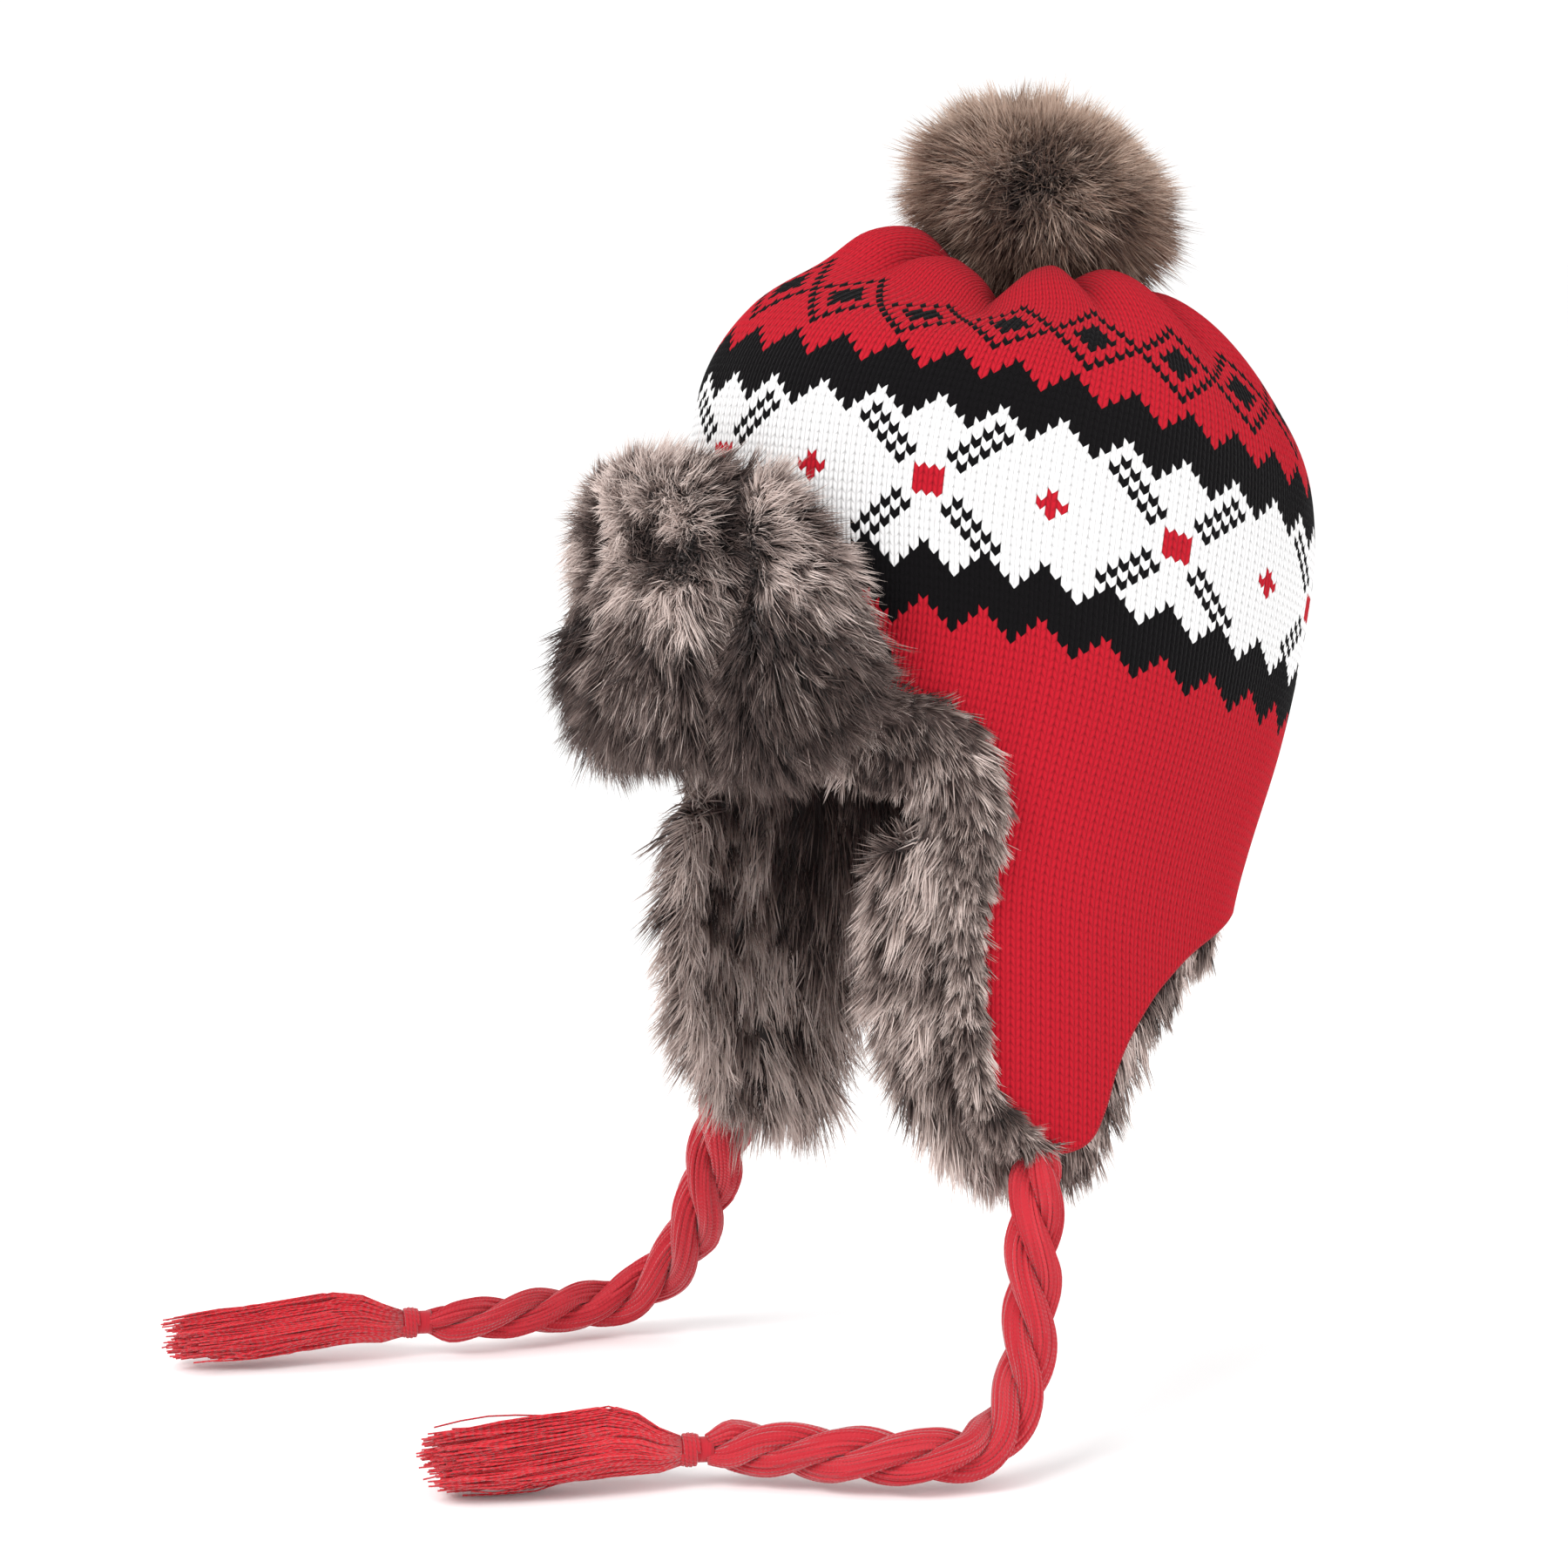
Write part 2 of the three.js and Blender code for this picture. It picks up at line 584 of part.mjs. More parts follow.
// One lock of a tassel along +X: it widens from the binding and ends in a point.
function tasselLock({ side, lift, long, wide }) {
  const skin = new Skin();
  const stations = [
    { run: 0, spread: 0.25, size: 0.55 },
    { run: 0.3, spread: 0.7, size: 0.9 },
    { run: 0.78, spread: 1, size: 1 },
  ];
  const rings = stations.map(({ run, spread, size }) => {
    const middle = new THREE.Vector3(run * long, side * spread, lift * spread);
    const half = (wide / 2) * size;
    const corner = (i) => {
      const turn = (Math.PI / 2) * i;
      return middle.clone().add(new THREE.Vector3(0, half * Math.cos(turn), 0.85 * half * Math.sin(turn)));
    };
    return ringOf(skin, 4, corner);
  });
  for (let i = 1; i < rings.length; i++) joinRings(skin, rings[i], rings[i - 1]);
  closeRing(skin, rings[0], new THREE.Vector3(0, side * 0.25, lift * 0.25), true);
  closeRing(skin, rings[2], new THREE.Vector3(long, side * 1.12, lift * 1.05), false);
  return solidOf(skin.geometry());
}

// The tassel's locks, by how far each spreads sideways and up, and its length.
const TASSEL_LOCKS = [
  { side: -13, lift: -4, long: 75, wide: 11 },
  { side: -9, lift: 5, long: 79, wide: 11 },
  { side: -5, lift: -6, long: 82, wide: 11 },
  { side: -2, lift: 9, long: 76, wide: 12 },
  { side: 1, lift: 1, long: 83, wide: 11 },
  { side: 5, lift: -6, long: 81, wide: 11 },
  { side: 8, lift: 6, long: 78, wide: 11 },
  { side: 13, lift: -3, long: 74, wide: 11 },
];

// The tassel: its locks joined to the round head where the binding holds them.
// bulk scales its section, and a negative bulk mirrors it.
function tassel(name, bulk) {
  const size = Math.abs(bulk);
  const head = new THREE.SphereGeometry(TASSEL_HEAD, 12, 8);
  head.scale(HEAD_STRETCH, 1, 1).translate(HEAD_STRETCH * TASSEL_HEAD, 0, 0);
  let body = solidOf(head);
  for (const { side, lift, long, wide } of TASSEL_LOCKS) {
    body = body.add(tasselLock({ side: side * bulk, lift: lift * size, long, wide: wide * size }));
  }
  return named(name, geometryOf(body), braidRed);
}

// A tie with its binding and tassel.
function tie(side, route, bulk) {
  const whole = new THREE.Group();
  const binding = atEnd(route, SEAM);
  const ends = atEnd(route, WRAP_LONG + 2 * SEAM);
  binding.add(wrap(`wrap_${side}`));
  ends.add(tassel(`tassel_${side}`, bulk));
  whole.add(braid(`braid_${side}`, route), binding, ends);
  return whole;
}

const group = new THREE.Group();
group.add(knitShell(), furLining(), brimFlap(), pompom());
group.add(tie("left", BRAID_LEFT, 1), tie("right", BRAID_RIGHT, -0.8));

export default group;
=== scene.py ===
import bpy
import numpy as np
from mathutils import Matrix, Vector
from mathutils.kdtree import KDTree


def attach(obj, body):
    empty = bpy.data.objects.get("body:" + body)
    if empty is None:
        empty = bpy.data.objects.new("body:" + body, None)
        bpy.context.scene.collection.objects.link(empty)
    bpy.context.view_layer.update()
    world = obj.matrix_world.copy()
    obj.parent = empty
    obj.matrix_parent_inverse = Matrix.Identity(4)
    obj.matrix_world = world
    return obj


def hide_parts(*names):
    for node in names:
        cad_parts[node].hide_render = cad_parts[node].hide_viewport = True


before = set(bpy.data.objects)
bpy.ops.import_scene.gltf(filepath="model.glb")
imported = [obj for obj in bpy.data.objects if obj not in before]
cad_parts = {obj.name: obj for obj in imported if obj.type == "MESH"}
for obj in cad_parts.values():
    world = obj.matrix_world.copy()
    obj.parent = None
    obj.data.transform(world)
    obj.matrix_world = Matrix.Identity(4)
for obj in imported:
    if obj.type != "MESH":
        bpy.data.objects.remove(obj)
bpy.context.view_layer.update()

MM = 0.001

# Camera and stage
AZIMUTH = 56.0
ELEVATION = 7.5
CAMERA_FAR = 1.5
CAMERA_AIM = (-0.0374, -0.0464, 0.0047)
LENS = 102.0
FLOOR = -206.0

# The hat's form, as in the part
LEAN = np.radians(18)
HANG_BEND = 40
FLAP_LOW = -107
RIGHT_SWING = 9
KNIT = 3
CLEAR = 0.8
FOLDS = 11
FOLD_START = 0.12
CROWN_START = 35
TOP_RING = 10
# level, width, depth, middle, fold, drop
SECTIONS = np.array([
    [-130, 87, 104, 0, 0, 0],
    [-80, 87, 104, 0, 0, 0],
    [-30, 86.5, 104, 0, 0, 0],
    [8, 86.5, 105.5, -0.5, 0, 0],
    [45, 88.5, 110, -3, 0, 0],
    [80, 89, 115.5, -9.5, 0, 0],
    [112, 88, 115, -14, 0, 0],
    [138, 82, 104.5, -15, 0.01, 0],
    [158, 70, 85, -15.5, 0.03, 1],
    [172, 57, 68, -21, 0.08, 4],
    [178, 43, 49.5, -24.5, 0.18, 10],
    [174, 32, 35.5, -26.5, 0.3, 9],
    [164, 20, 21.5, -28.5, 0.4, 5],
    [156, 8, 8, -29, 0.4, 1],
])
# angle, level, fur, pile, tuck
RIM = np.array([
    [0, 0, 1, 8, 0],
    [28, 0, 1, 8, 0],
    [48, -1, 3, 12, 0],
    [57, -6, 14, 18, 0],
    [61, -18, 24, 22, 0],
    [62, -42, 30, 24, 0],
    [62.5, -70, 29, 25, 0],
    [64, -90, 25, 25, 1],
    [68, -102, 19, 22, 5],
    [74, -107, 14, 17, 10],
    [81, -107, 13, 17, 10],
    [87, -101, 11, 23, 6],
    [90.5, -89, 10, 26, 1],
    [93, -76, 10, 26, 0],
    [98, -60, 10, 24, 0],
    [107, -42, 10, 20, 0],
    [122, -25, 9, 19, 0],
    [148, -11, 8, 19, 0],
    [180, -8, 7, 19, 0],
])
# down the pile, share of the pile's thickness, share of the reach past the knit's edge
LINING_ROWS = np.array([
    [1, 0, 0],
    [1, 0.05, 1],
    [1, 0.55, 1],
    [0.97, 0.6, 0],
    [0.78, 0.66, 0],
    [0.59, 0.66, 0],
    [0.4, 0.63, 0],
    [0.2, 0.56, 0],
    [0.03, 0.32, 0],
])
# stand, level
BRIM_ROUND = np.array([
    [0.5, -2],
    [1.5, 26],
    [5, 54],
    [9, 76],
    [21, 82],
    [32, 73],
    [37, 53],
    [38, 31],
    [36, 10],
    [27, -8],
    [13, -12],
    [0.5, -2],
])
BRIM_END = 42
BRIM_STAND = 16
BRIM_LEVEL = 34
GROOVE_ANGLE = 17.5
GROOVE_SPREAD = 3.4
GROOVE_DEEP = 11
DIMPLE_LEVEL = 47
DIMPLE_RISE = 9
DIMPLE_SPREAD = 7
DIMPLE_DEEP = 12
POMPOM_RADIUS = 42.5
POMPOM_FLAT = 0.7
POMPOM_Y = -33.5
POMPOM_LEVEL = 201

# The ties' routes, as in the part
WRAP_LONG = 11
SEAM = 0.4
BRAID_LEFT = np.array([
    [84, -29, -101.3],
    [84, -30.5, -116],
    [84.5, -32, -131],
    [86, -33.5, -147],
    [88, -36.5, -163],
    [91, -42, -177],
    [94, -51, -187.5],
    [95, -62, -193],
    [92, -74, -193.5],
    [86, -85, -193.5],
    [77.5, -94.5, -193.5],
    [67.5, -103, -193.5],
    [58, -111, -193.5],
    [49.5, -119.5, -193.5],
    [44, -130.5, -193.5],
])
BRAID_RIGHT = np.array([
    [-92.5, -29, -101.2],
    [-94, -31, -116],
    [-97, -33.5, -130],
    [-101, -35, -144],
    [-106.5, -36, -158],
    [-114, -37.5, -171],
    [-123, -41, -182],
    [-130.5, -48, -190],
    [-135.5, -59, -193.5],
    [-137.5, -71.5, -193.5],
    [-138, -83, -193.5],
    [-138.5, -94, -193.5],
    [-140, -105, -193.5],
    [-143, -115.5, -193.5],
    [-147, -125, -193.5],
])

# Yarn work
LAY = 66.0
LAY_SIDE = 5.1
LAY_DEPTH = 4.2
STRAND = 3.9
YARN = 0.78
YARNS = 22
YARN_LAY = 34
# thickness against the part's, where the tie leaves the earflap and at its neck
TIE_SIZE = {"left": (0.97, 0.93), "right": (1.24, 0.76)}
WINDINGS = 4
FIBRES = 1100
FIBRE = 0.34
TASSEL_LONG = 81.0
TUFTS = 30
# share of the length, half width, half height, rise of the middle
TASSEL = np.array([
    [0, 4.6, 4.6, 0],
    [0.1, 7, 7, 0.4],
    [0.28, 11.5, 11, 4],
    [0.5, 12, 10.5, 2],
    [0.8, 12, 10, -0.5],
    [1, 11.5, 9, -1.5],
])

# The knit's pattern, in stitches round from the front and rows up from the stars' middle
STITCHES = 168
ROW = 2.85
PER_STITCH = 4
STAR_LEVEL = 92
STAR_STITCH = 19
STAR_REPEAT = 24
TOOTH = 6
DIAMOND_STITCH = 12
DIAMOND_REPEAT = 10
DIAMOND_ROW = 22
CHEVRON = 0.6
RELIEF = 0.32
GATHER = 4.0
SAG = 14.0
SAG_ANGLE = 34
SAG_SPREAD = 26
# The cloth isn't stretched evenly.
# even stitches from the front, the knit's own stitches, rows that hang lower
STRETCH = np.array([
    [-84, -84, 0],
    [-60, -62, 1],
    [-25, -30.5, 2.5],
    [-0.3, -4.7, 3],
    [9.5, 7, 2.4],
    [19.6, 19, 1],
    [30.1, 31, 0],
    [42.7, 43, 0],
    [55.3, 55, 0],
    [84, 84, 0],
])

# How many hairs, and the locks that their tips are drawn into
BRIM_HAIRS = 60000
BRIM_LOCKS = 4200
LINING_HAIRS = 50000
LINING_LOCKS = 2300
ROLL_HAIRS = 11500
ROLL_LOCKS = 700
POMPOM_HAIRS = 52000
POMPOM_LOCKS = 1500
# The fur that rolls over the knit's front edges.
# number of the rim's row, width over the knit
ROLL = np.array([
    [0.8, 0],
    [1.6, 24],
    [2.4, 24],
    [3, 18],
    [4, 9],
    [4.6, 5],
    [5, 3],
    [7, 3],
    [8, 4],
    [8.8, 3],
    [9.6, 0],
])
ROLL_START = 6

# Grids of points that the hair stands on: columns, rows
BRIM_GRID = (85, 111)
LINING_GRID = (331, 97)
ROLL_GRID = (121, 17)
POMPOM_GRID = (121, 61)
# The skin under the hair in the colour UV: its tones, and how far up a hair its colours are taken
SKIN_TONES = (0.3, 0.5)
SKIN_DARK = (0.0, 0.05)
SKIN_MIDDLE = (0.4, 0.6)
LOCK_REACH = 7
DOWN = np.array([0.0, 0.0, -1.0])

# The knit's inside wall and its turned edge
INSIDE_COLUMNS = 132
INSIDE_TOP = 9.7
HEM_POINTS = 260
HEM = 1.75


# Small helpers
def smooth(x, low, high):
    """0 up to low, 1 from high, and a soft step between."""
    t = np.clip((x - low) / (high - low), 0, 1)
    return t * t * (3 - 2 * t)


def unit(v):
    return v / np.maximum(np.linalg.norm(v, axis=-1, keepdims=True), 1e-9)


def on_surface(way, normal):
    """The part of a way that lies along the surface."""
    return way - normal * (way * normal).sum(-1, keepdims=True)


def along(table, at):
    """A smooth curve through a table's rows; row numbers run from 0."""
    at = np.asarray(at, float)
    i = np.clip(np.floor(at).astype(int), 0, len(table) - 2)
    t = (at - i)[..., None]
    p, a, b, q = (table[np.clip(i + n, 0, len(table) - 1)] for n in (-1, 0, 1, 2))
    leave, arrive, rise = (b - p) / 2, (q - a) / 2, b - a
    return a + t * (leave + t * (3 * rise - 2 * leave - arrive + t * (leave + arrive - 2 * rise)))


def straight(table, at):
    """Straight lines through a table's rows."""
    rows = np.arange(len(table))
    return np.stack([np.interp(at, rows, table[:, k]) for k in range(table.shape[1])], -1)


def place(x, y, level):
    """A place given across, along and up the worn hat, in the part's frame."""
    down = np.clip(-level, 0, HANG_BEND)
    shift = np.where(level > 0, level * np.sin(LEAN), -LEAN * (down - down**2 / (2 * HANG_BEND)))
    rise = np.where(level > 0, level * np.cos(LEAN), level)
    swing = np.where(x < 0, RIGHT_SWING * np.clip(level / FLAP_LOW, 0, 1), 0)
    return np.stack([x - swing, y * np.cos(LEAN) + shift, rise - y * np.sin(LEAN)], -1)


FINE = np.linspace(0, len(SECTIONS) - 1, 2601)
FINE_ROWS = along(SECTIONS, FINE)
SIDE = FINE <= TOP_RING
PATH = np.r_[0, np.cumsum(np.hypot(np.diff(FINE_ROWS[:, 1:3].mean(1)), np.diff(FINE_ROWS[:, 0])))]
PATH -= np.interp(STAR_LEVEL, FINE_ROWS[SIDE, 0], PATH[SIDE])


def step_at(level):
    return np.interp(level, FINE_ROWS[SIDE, 0], FINE[SIDE])


def step_of_row(row):
    return np.interp(row * ROW, PATH, FINE)


def row_of_level(level):
    return np.interp(level, FINE_ROWS[SIDE, 0], PATH[SIDE]) / ROW


TURN = np.linspace(0, 2 * np.pi, 7201)
ROUND = np.r_[0, np.cumsum(np.hypot(89.3 * np.diff(np.sin(TURN)), 115.6 * np.diff(np.cos(TURN))))]
ROUND /= ROUND[-1]


def angle_of(share):
    """The angle from the front of a share of the way round, even in stitches."""
    return np.interp(np.mod(share, 1), ROUND, TURN)


def cleft(angle):
    """0 on a gather's crest and 1 in the cleft beside it."""
    return (1 - np.abs(np.sin(FOLDS * (angle - FOLD_START) / 2))) ** 1.4


def wall(angle, step, inset):
    """A point of the knit's outside, drawn in by the inset."""
    row = along(SECTIONS, step)
    crease = cleft(angle)
    keep = 1 - row[..., 4] * crease
    x = (row[..., 1] * keep - inset) * np.sin(angle)
    y = row[..., 3] - (row[..., 2] * keep - inset) * np.cos(angle)
    return place(x, y, row[..., 0] - row[..., 5] * crease)


# The knit's lower edge, even by length from the middle of the brow to the middle of the nape
RIM_ROWS = np.linspace(0, len(RIM) - 1, 181)
RIM_FINE = along(RIM, RIM_ROWS)
REACH_WIDE, REACH_DEEP = SECTIONS[3, 1:3]
_facing = np.radians(RIM_FINE[1:, 0])
_reach = np.hypot(REACH_WIDE * np.cos(_facing), REACH_DEEP * np.sin(_facing))
_round = np.radians(np.diff(RIM_FINE[:, 0])) * _reach
_rise = np.diff(RIM_FINE[:, 1])
_size = np.hypot(_round, _rise)
RIM_LENGTH = np.r_[0, np.cumsum(_size)]
OUT_ROUND = _rise / _size
OUT_RISE = -_round / _size


def rim_of(share):
    """The edge's angle, level, fur, pile, tuck and way out, for shares of the whole way round."""
    share = np.mod(share, 1) * 2
    mirrored = share > 1
    want = np.where(mirrored, 2 - share, share) * RIM_LENGTH[-1]
    found = [np.interp(want, RIM_LENGTH, RIM_FINE[:, k]) for k in range(5)]
    middles = (RIM_LENGTH[1:] + RIM_LENGTH[:-1]) / 2
    out_round = np.interp(want, middles, OUT_ROUND)
    out_rise = np.interp(want, middles, OUT_RISE)
    angle = np.radians(found[0])
    angle = np.where(mirrored, 2 * np.pi - angle, angle)
    return angle, *found[1:], np.where(mirrored, -out_round, out_round), out_rise


def rim_number(share):
    """The row of RIM, as a number from 0, that a share of the way round falls on."""
    share = np.mod(share, 1) * 2
    want = np.where(share > 1, 2 - share, share) * RIM_LENGTH[-1]
    return np.interp(want, RIM_LENGTH, RIM_ROWS)


def share_of_number(number):
    """The share of the way round at a row of RIM, on the wearer's left."""
    return np.interp(number, RIM_ROWS, RIM_LENGTH) / RIM_LENGTH[-1] / 2


def skirt(share, down, inset, past=0.0):
    """A point on the wall's skirt. Down is 0 at CROWN_START and 1 at the edge, and past goes beyond it."""
    share = np.mod(share, 1)
    angle, level, _, _, _, out_round, out_rise = rim_of(share)
    angle = 2 * np.pi * share * (1 - down) + angle * down
    level = CROWN_START * (1 - down) + level * down + past * out_rise
    row = along(SECTIONS, step_at(level))
    sin, cos = np.sin(angle), np.cos(angle)
    tangent = past * out_round / np.hypot(row[..., 1] * cos, row[..., 2] * sin)
    x = (row[..., 1] - inset) * sin + tangent * row[..., 1] * cos
    y = row[..., 3] - (row[..., 2] - inset) * cos + tangent * row[..., 2] * sin
    return place(x, y, level)


def lining_point(share, at):
    """A point of the lining's pile, from the knit's edge at 0 round the fur's edge and up inside."""
    down, thick, past = np.moveaxis(straight(LINING_ROWS, at), -1, 0)
    _, _, fur, pile, tuck, _, _ = rim_of(share)
    inset = KNIT + CLEAR + tuck * smooth(down, 0.8, 1) + thick * pile
    return skirt(share, down, inset, past * fur)


def brim_point(angle, at):
    """A point of the brim flap: angle in degrees from the front, at along BRIM_ROUND."""
    stand, level = np.moveaxis(along(BRIM_ROUND, at), -1, 0)
    full = np.sqrt(np.maximum(1 - np.abs(angle / BRIM_END) ** 5, 0.02))
    groove = GROOVE_DEEP * np.exp(-(((np.abs(angle) - GROOVE_ANGLE) / GROOVE_SPREAD) ** 2))
    tucked = ((level - DIMPLE_LEVEL) / DIMPLE_RISE) ** 2 + (angle / DIMPLE_SPREAD) ** 2
    press = smooth(stand, 12, 34) * (groove + DIMPLE_DEEP * np.exp(-tucked))
    stand = BRIM_STAND + (stand - BRIM_STAND) * (0.35 + 0.65 * full) - press * full
    level = BRIM_LEVEL + (level - BRIM_LEVEL) * full
    row = along(SECTIONS, step_at(level))
    turn = np.radians(angle)
    ahead = (row[..., 2] + stand) * np.cos(turn)
    return place((row[..., 1] + stand) * np.sin(turn), row[..., 3] - ahead, level)


def pompom_point(turn, fall, size=1.0):
    """A point of the pompom's ball: turn round it and fall from its top, in radians."""
    radius = POMPOM_RADIUS * size * (1 - 0.16 * smooth(fall, 1.7, 2.5))
    x = radius * np.sin(fall) * np.cos(turn)
    y = radius * np.sin(fall) * np.sin(turn)
    up = radius * np.cos(fall) * POMPOM_FLAT
    middle = place(np.array(0.0), np.array(float(POMPOM_Y)), np.array(float(POMPOM_LEVEL)))
    back = y * np.cos(LEAN) + up * np.sin(LEAN)
    rise = up * np.cos(LEAN) - y * np.sin(LEAN)
    return middle + np.stack([x, back, rise], -1)


# Making meshes
def cell_corners(grid):
    """The four corners of each cell of a grid (rows, columns), in turn round the cell."""
    return [grid[:-1, :-1], grid[1:, :-1], grid[1:, 1:], grid[:-1, 1:]]


def both_uvs(colour_uv, relief_uv):
    relief_uv = colour_uv if relief_uv is None else relief_uv
    return np.concatenate([colour_uv.reshape(-1, 2), relief_uv.reshape(-1, 2)], 1)


class Soup:
    """The corners and faces of one mesh. Each face corner has one UV for colour and one for relief."""

    def __init__(self):
        self.corners, self.count = [], 0
        self.quads, self.tris = [], []
        self.quad_uvs, self.tri_uvs = [], []

    def add(self, points):
        points = np.asarray(points, float).reshape(-1, 3)
        start = self.count
        self.corners.append(points)
        self.count += len(points)
        return start

    def quad(self, faces, colour_uv, relief_uv=None):
        self.quads.append(faces.reshape(-1, 4))
        self.quad_uvs.append(both_uvs(colour_uv, relief_uv))

    def tri(self, faces, colour_uv, relief_uv=None):
        self.tris.append(faces.reshape(-1, 3))
        self.tri_uvs.append(both_uvs(colour_uv, relief_uv))

    def mesh(self, name, material, body="root", slot=None, replaces=(), colours=None):
        quads = np.concatenate(self.quads) if self.quads else np.zeros((0, 4), int)
        tris = np.concatenate(self.tris) if self.tris else np.zeros((0, 3), int)
        uvs = np.concatenate(self.quad_uvs + self.tri_uvs)
        loops = np.concatenate([quads.ravel(), tris.ravel()]).astype(np.int32)
        starts = np.concatenate([np.arange(len(quads)) * 4, 4 * len(quads) + np.arange(len(tris)) * 3])
        data = bpy.data.meshes.new(name)
        data.vertices.add(self.count)
        data.vertices.foreach_set("co", (np.concatenate(self.corners) * MM).astype(np.float32).ravel())
        data.loops.add(len(loops))
        data.loops.foreach_set("vertex_index", loops)
        data.polygons.add(len(starts))
        data.polygons.foreach_set("loop_start", starts.astype(np.int32))
        for layer, part in (("OFBake", uvs[:, :2]), ("Relief", uvs[:, 2:])):
            data.uv_layers.new(name=layer).data.foreach_set("uv", part.astype(np.float32).ravel())
        if colours is not None:
            shades = data.color_attributes.new("PatternAndCleftShade", "FLOAT_COLOR", "CORNER")
            shades.data.foreach_set("color", colours.astype(np.float32).ravel())
        data.update(calc_edges=True)
        data.polygons.foreach_set("use_smooth", np.ones(len(starts), bool))
        data.materials.append(material)
        piece = bpy.data.objects.new(name, data)
        bpy.context.scene.collection.objects.link(piece)
        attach(piece, body)
        if replaces:
            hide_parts(*replaces)
        return piece


def add_tubes(soup, lines, radii, sides, tone, closed=False):
    """Round tubes along lines (tubes, points, 3), with their tone as the colour UV's first value."""
    count, points = lines.shape[:2]
    if closed:
        ahead = unit(np.roll(lines, -1, 1) - np.roll(lines, 1, 1))
    else:
        ahead = unit(np.gradient(lines, axis=1))
    prefer = np.where(np.abs(ahead[:, :1, 2:]) > 0.8, [1.0, 0.0, 0.0], [0.0, 0.0, 1.0])
    side = unit(np.cross(ahead, np.broadcast_to(prefer, ahead.shape)))
    if not closed:
        for k in range(1, points):
            side[:, k] = unit(on_surface(side[:, k - 1], ahead[:, k]))
    up = np.cross(ahead, side)
    turn = 2 * np.pi * np.arange(sides) / sides
    radii = np.broadcast_to(radii, (count, points))[..., None, None]
    cos, sin = np.cos(turn)[:, None], np.sin(turn)[:, None]
    ring = lines[:, :, None] + radii * (cos * side[:, :, None] + sin * up[:, :, None])
    start = soup.add(ring)
    index = start + np.arange(count * points * sides).reshape(count, points, sides)
    nxt = np.roll(index, -1, 2)
    last = points if closed else points - 1
    below = np.roll(index, -1, 1)[:, :last]
    below_nxt = np.roll(nxt, -1, 1)[:, :last]
    faces = np.stack([index[:, :last], below, below_nxt, nxt[:, :last]], -1)
    steps = np.linalg.norm(np.diff(lines, axis=1), axis=-1)
    run = np.concatenate([np.zeros((count, 1)), np.cumsum(steps, 1)], 1)
    run = np.concatenate([run, run[:, -1:] + 1], 1)
    total = run[:, -2:-1, None, None]
    shift = (37.7 * np.arange(count) % 1000)[:, None, None]
    grid_u = np.broadcast_to(np.arange(sides) / sides, (count, last, sides))
    grid_v = np.broadcast_to(run[:, :last, None], (count, last, sides))
    next_v = np.broadcast_to(run[:, 1:last + 1, None], (count, last, sides))
    relief = np.stack([
        np.stack([grid_u, grid_v], -1),
        np.stack([grid_u, next_v], -1),
        np.stack([grid_u + 1 / sides, next_v], -1),
        np.stack([grid_u + 1 / sides, grid_v], -1),
    ], -2)
    tones = np.broadcast_to(np.reshape(tone, (-1, 1, 1, 1)), (count, last, sides, 4))
    share = 0.02 + 0.96 * relief[..., 1] / (total + 1)
    colour = np.stack([tones * 0.98 + relief[..., 0] * 0.01, share], -1)
    relief[..., 1] += shift[..., None]
    soup.quad(faces, colour, relief)
    if not closed:
        for end, flip in ((0, False), (points - 1, True)):
            cap = index[:, end]
            hub = np.broadcast_to(cap[:, :1], (count, sides - 2))
            fan = np.stack([hub, cap[:, 1:-1], cap[:, 2:]], -1)
            fan = fan[..., ::-1] if flip else fan
            cap_tone = np.broadcast_to(np.reshape(tone, (-1, 1, 1)) * 0.98, fan.shape)
            cap_run = np.broadcast_to([0.01, 0.012, 0.011], fan.shape)
            soup.tri(fan, np.stack([cap_tone, cap_run], -1))


def scatter(rng, points, count, weight=None):
    """Random spots on a grid of points (rows, columns, 3).

    Gives where they are, the normals, the ways across and down, and their rows and columns on the grid.
    """
    a, d, c, b = cell_corners(points)
    across, down = (b + c - a - d) / 2, (c + d - a - b) / 2
    normal = np.cross(across, down)
    area = np.linalg.norm(normal, axis=-1)
    share = area if weight is None else area * weight
    pick = rng.choice(share.size, count, p=(share / share.sum()).ravel())
    i, j = np.unravel_index(pick, share.shape)
    s, t = rng.random(count)[:, None], rng.random(count)[:, None]
    spot = (a[i, j] * (1 - s) + b[i, j] * s) * (1 - t) + (d[i, j] * (1 - s) + c[i, j] * s) * t
    return spot, unit(normal[i, j]), unit(across[i, j]), unit(down[i, j]), i + t[:, 0], j + s[:, 0]


def lumps(points, size, seed):
    """A smooth wandering value, mostly between -1 and 1, that changes over lengths of about size."""
    rng = np.random.default_rng(seed)
    value = 0
    for _ in range(7):
        wave = unit(rng.normal(size=3)) * 2 * np.pi / (size * rng.uniform(0.8, 1.6))
        value = value + np.sin(points @ wave + rng.uniform(0, 2 * np.pi))
    return value / 3


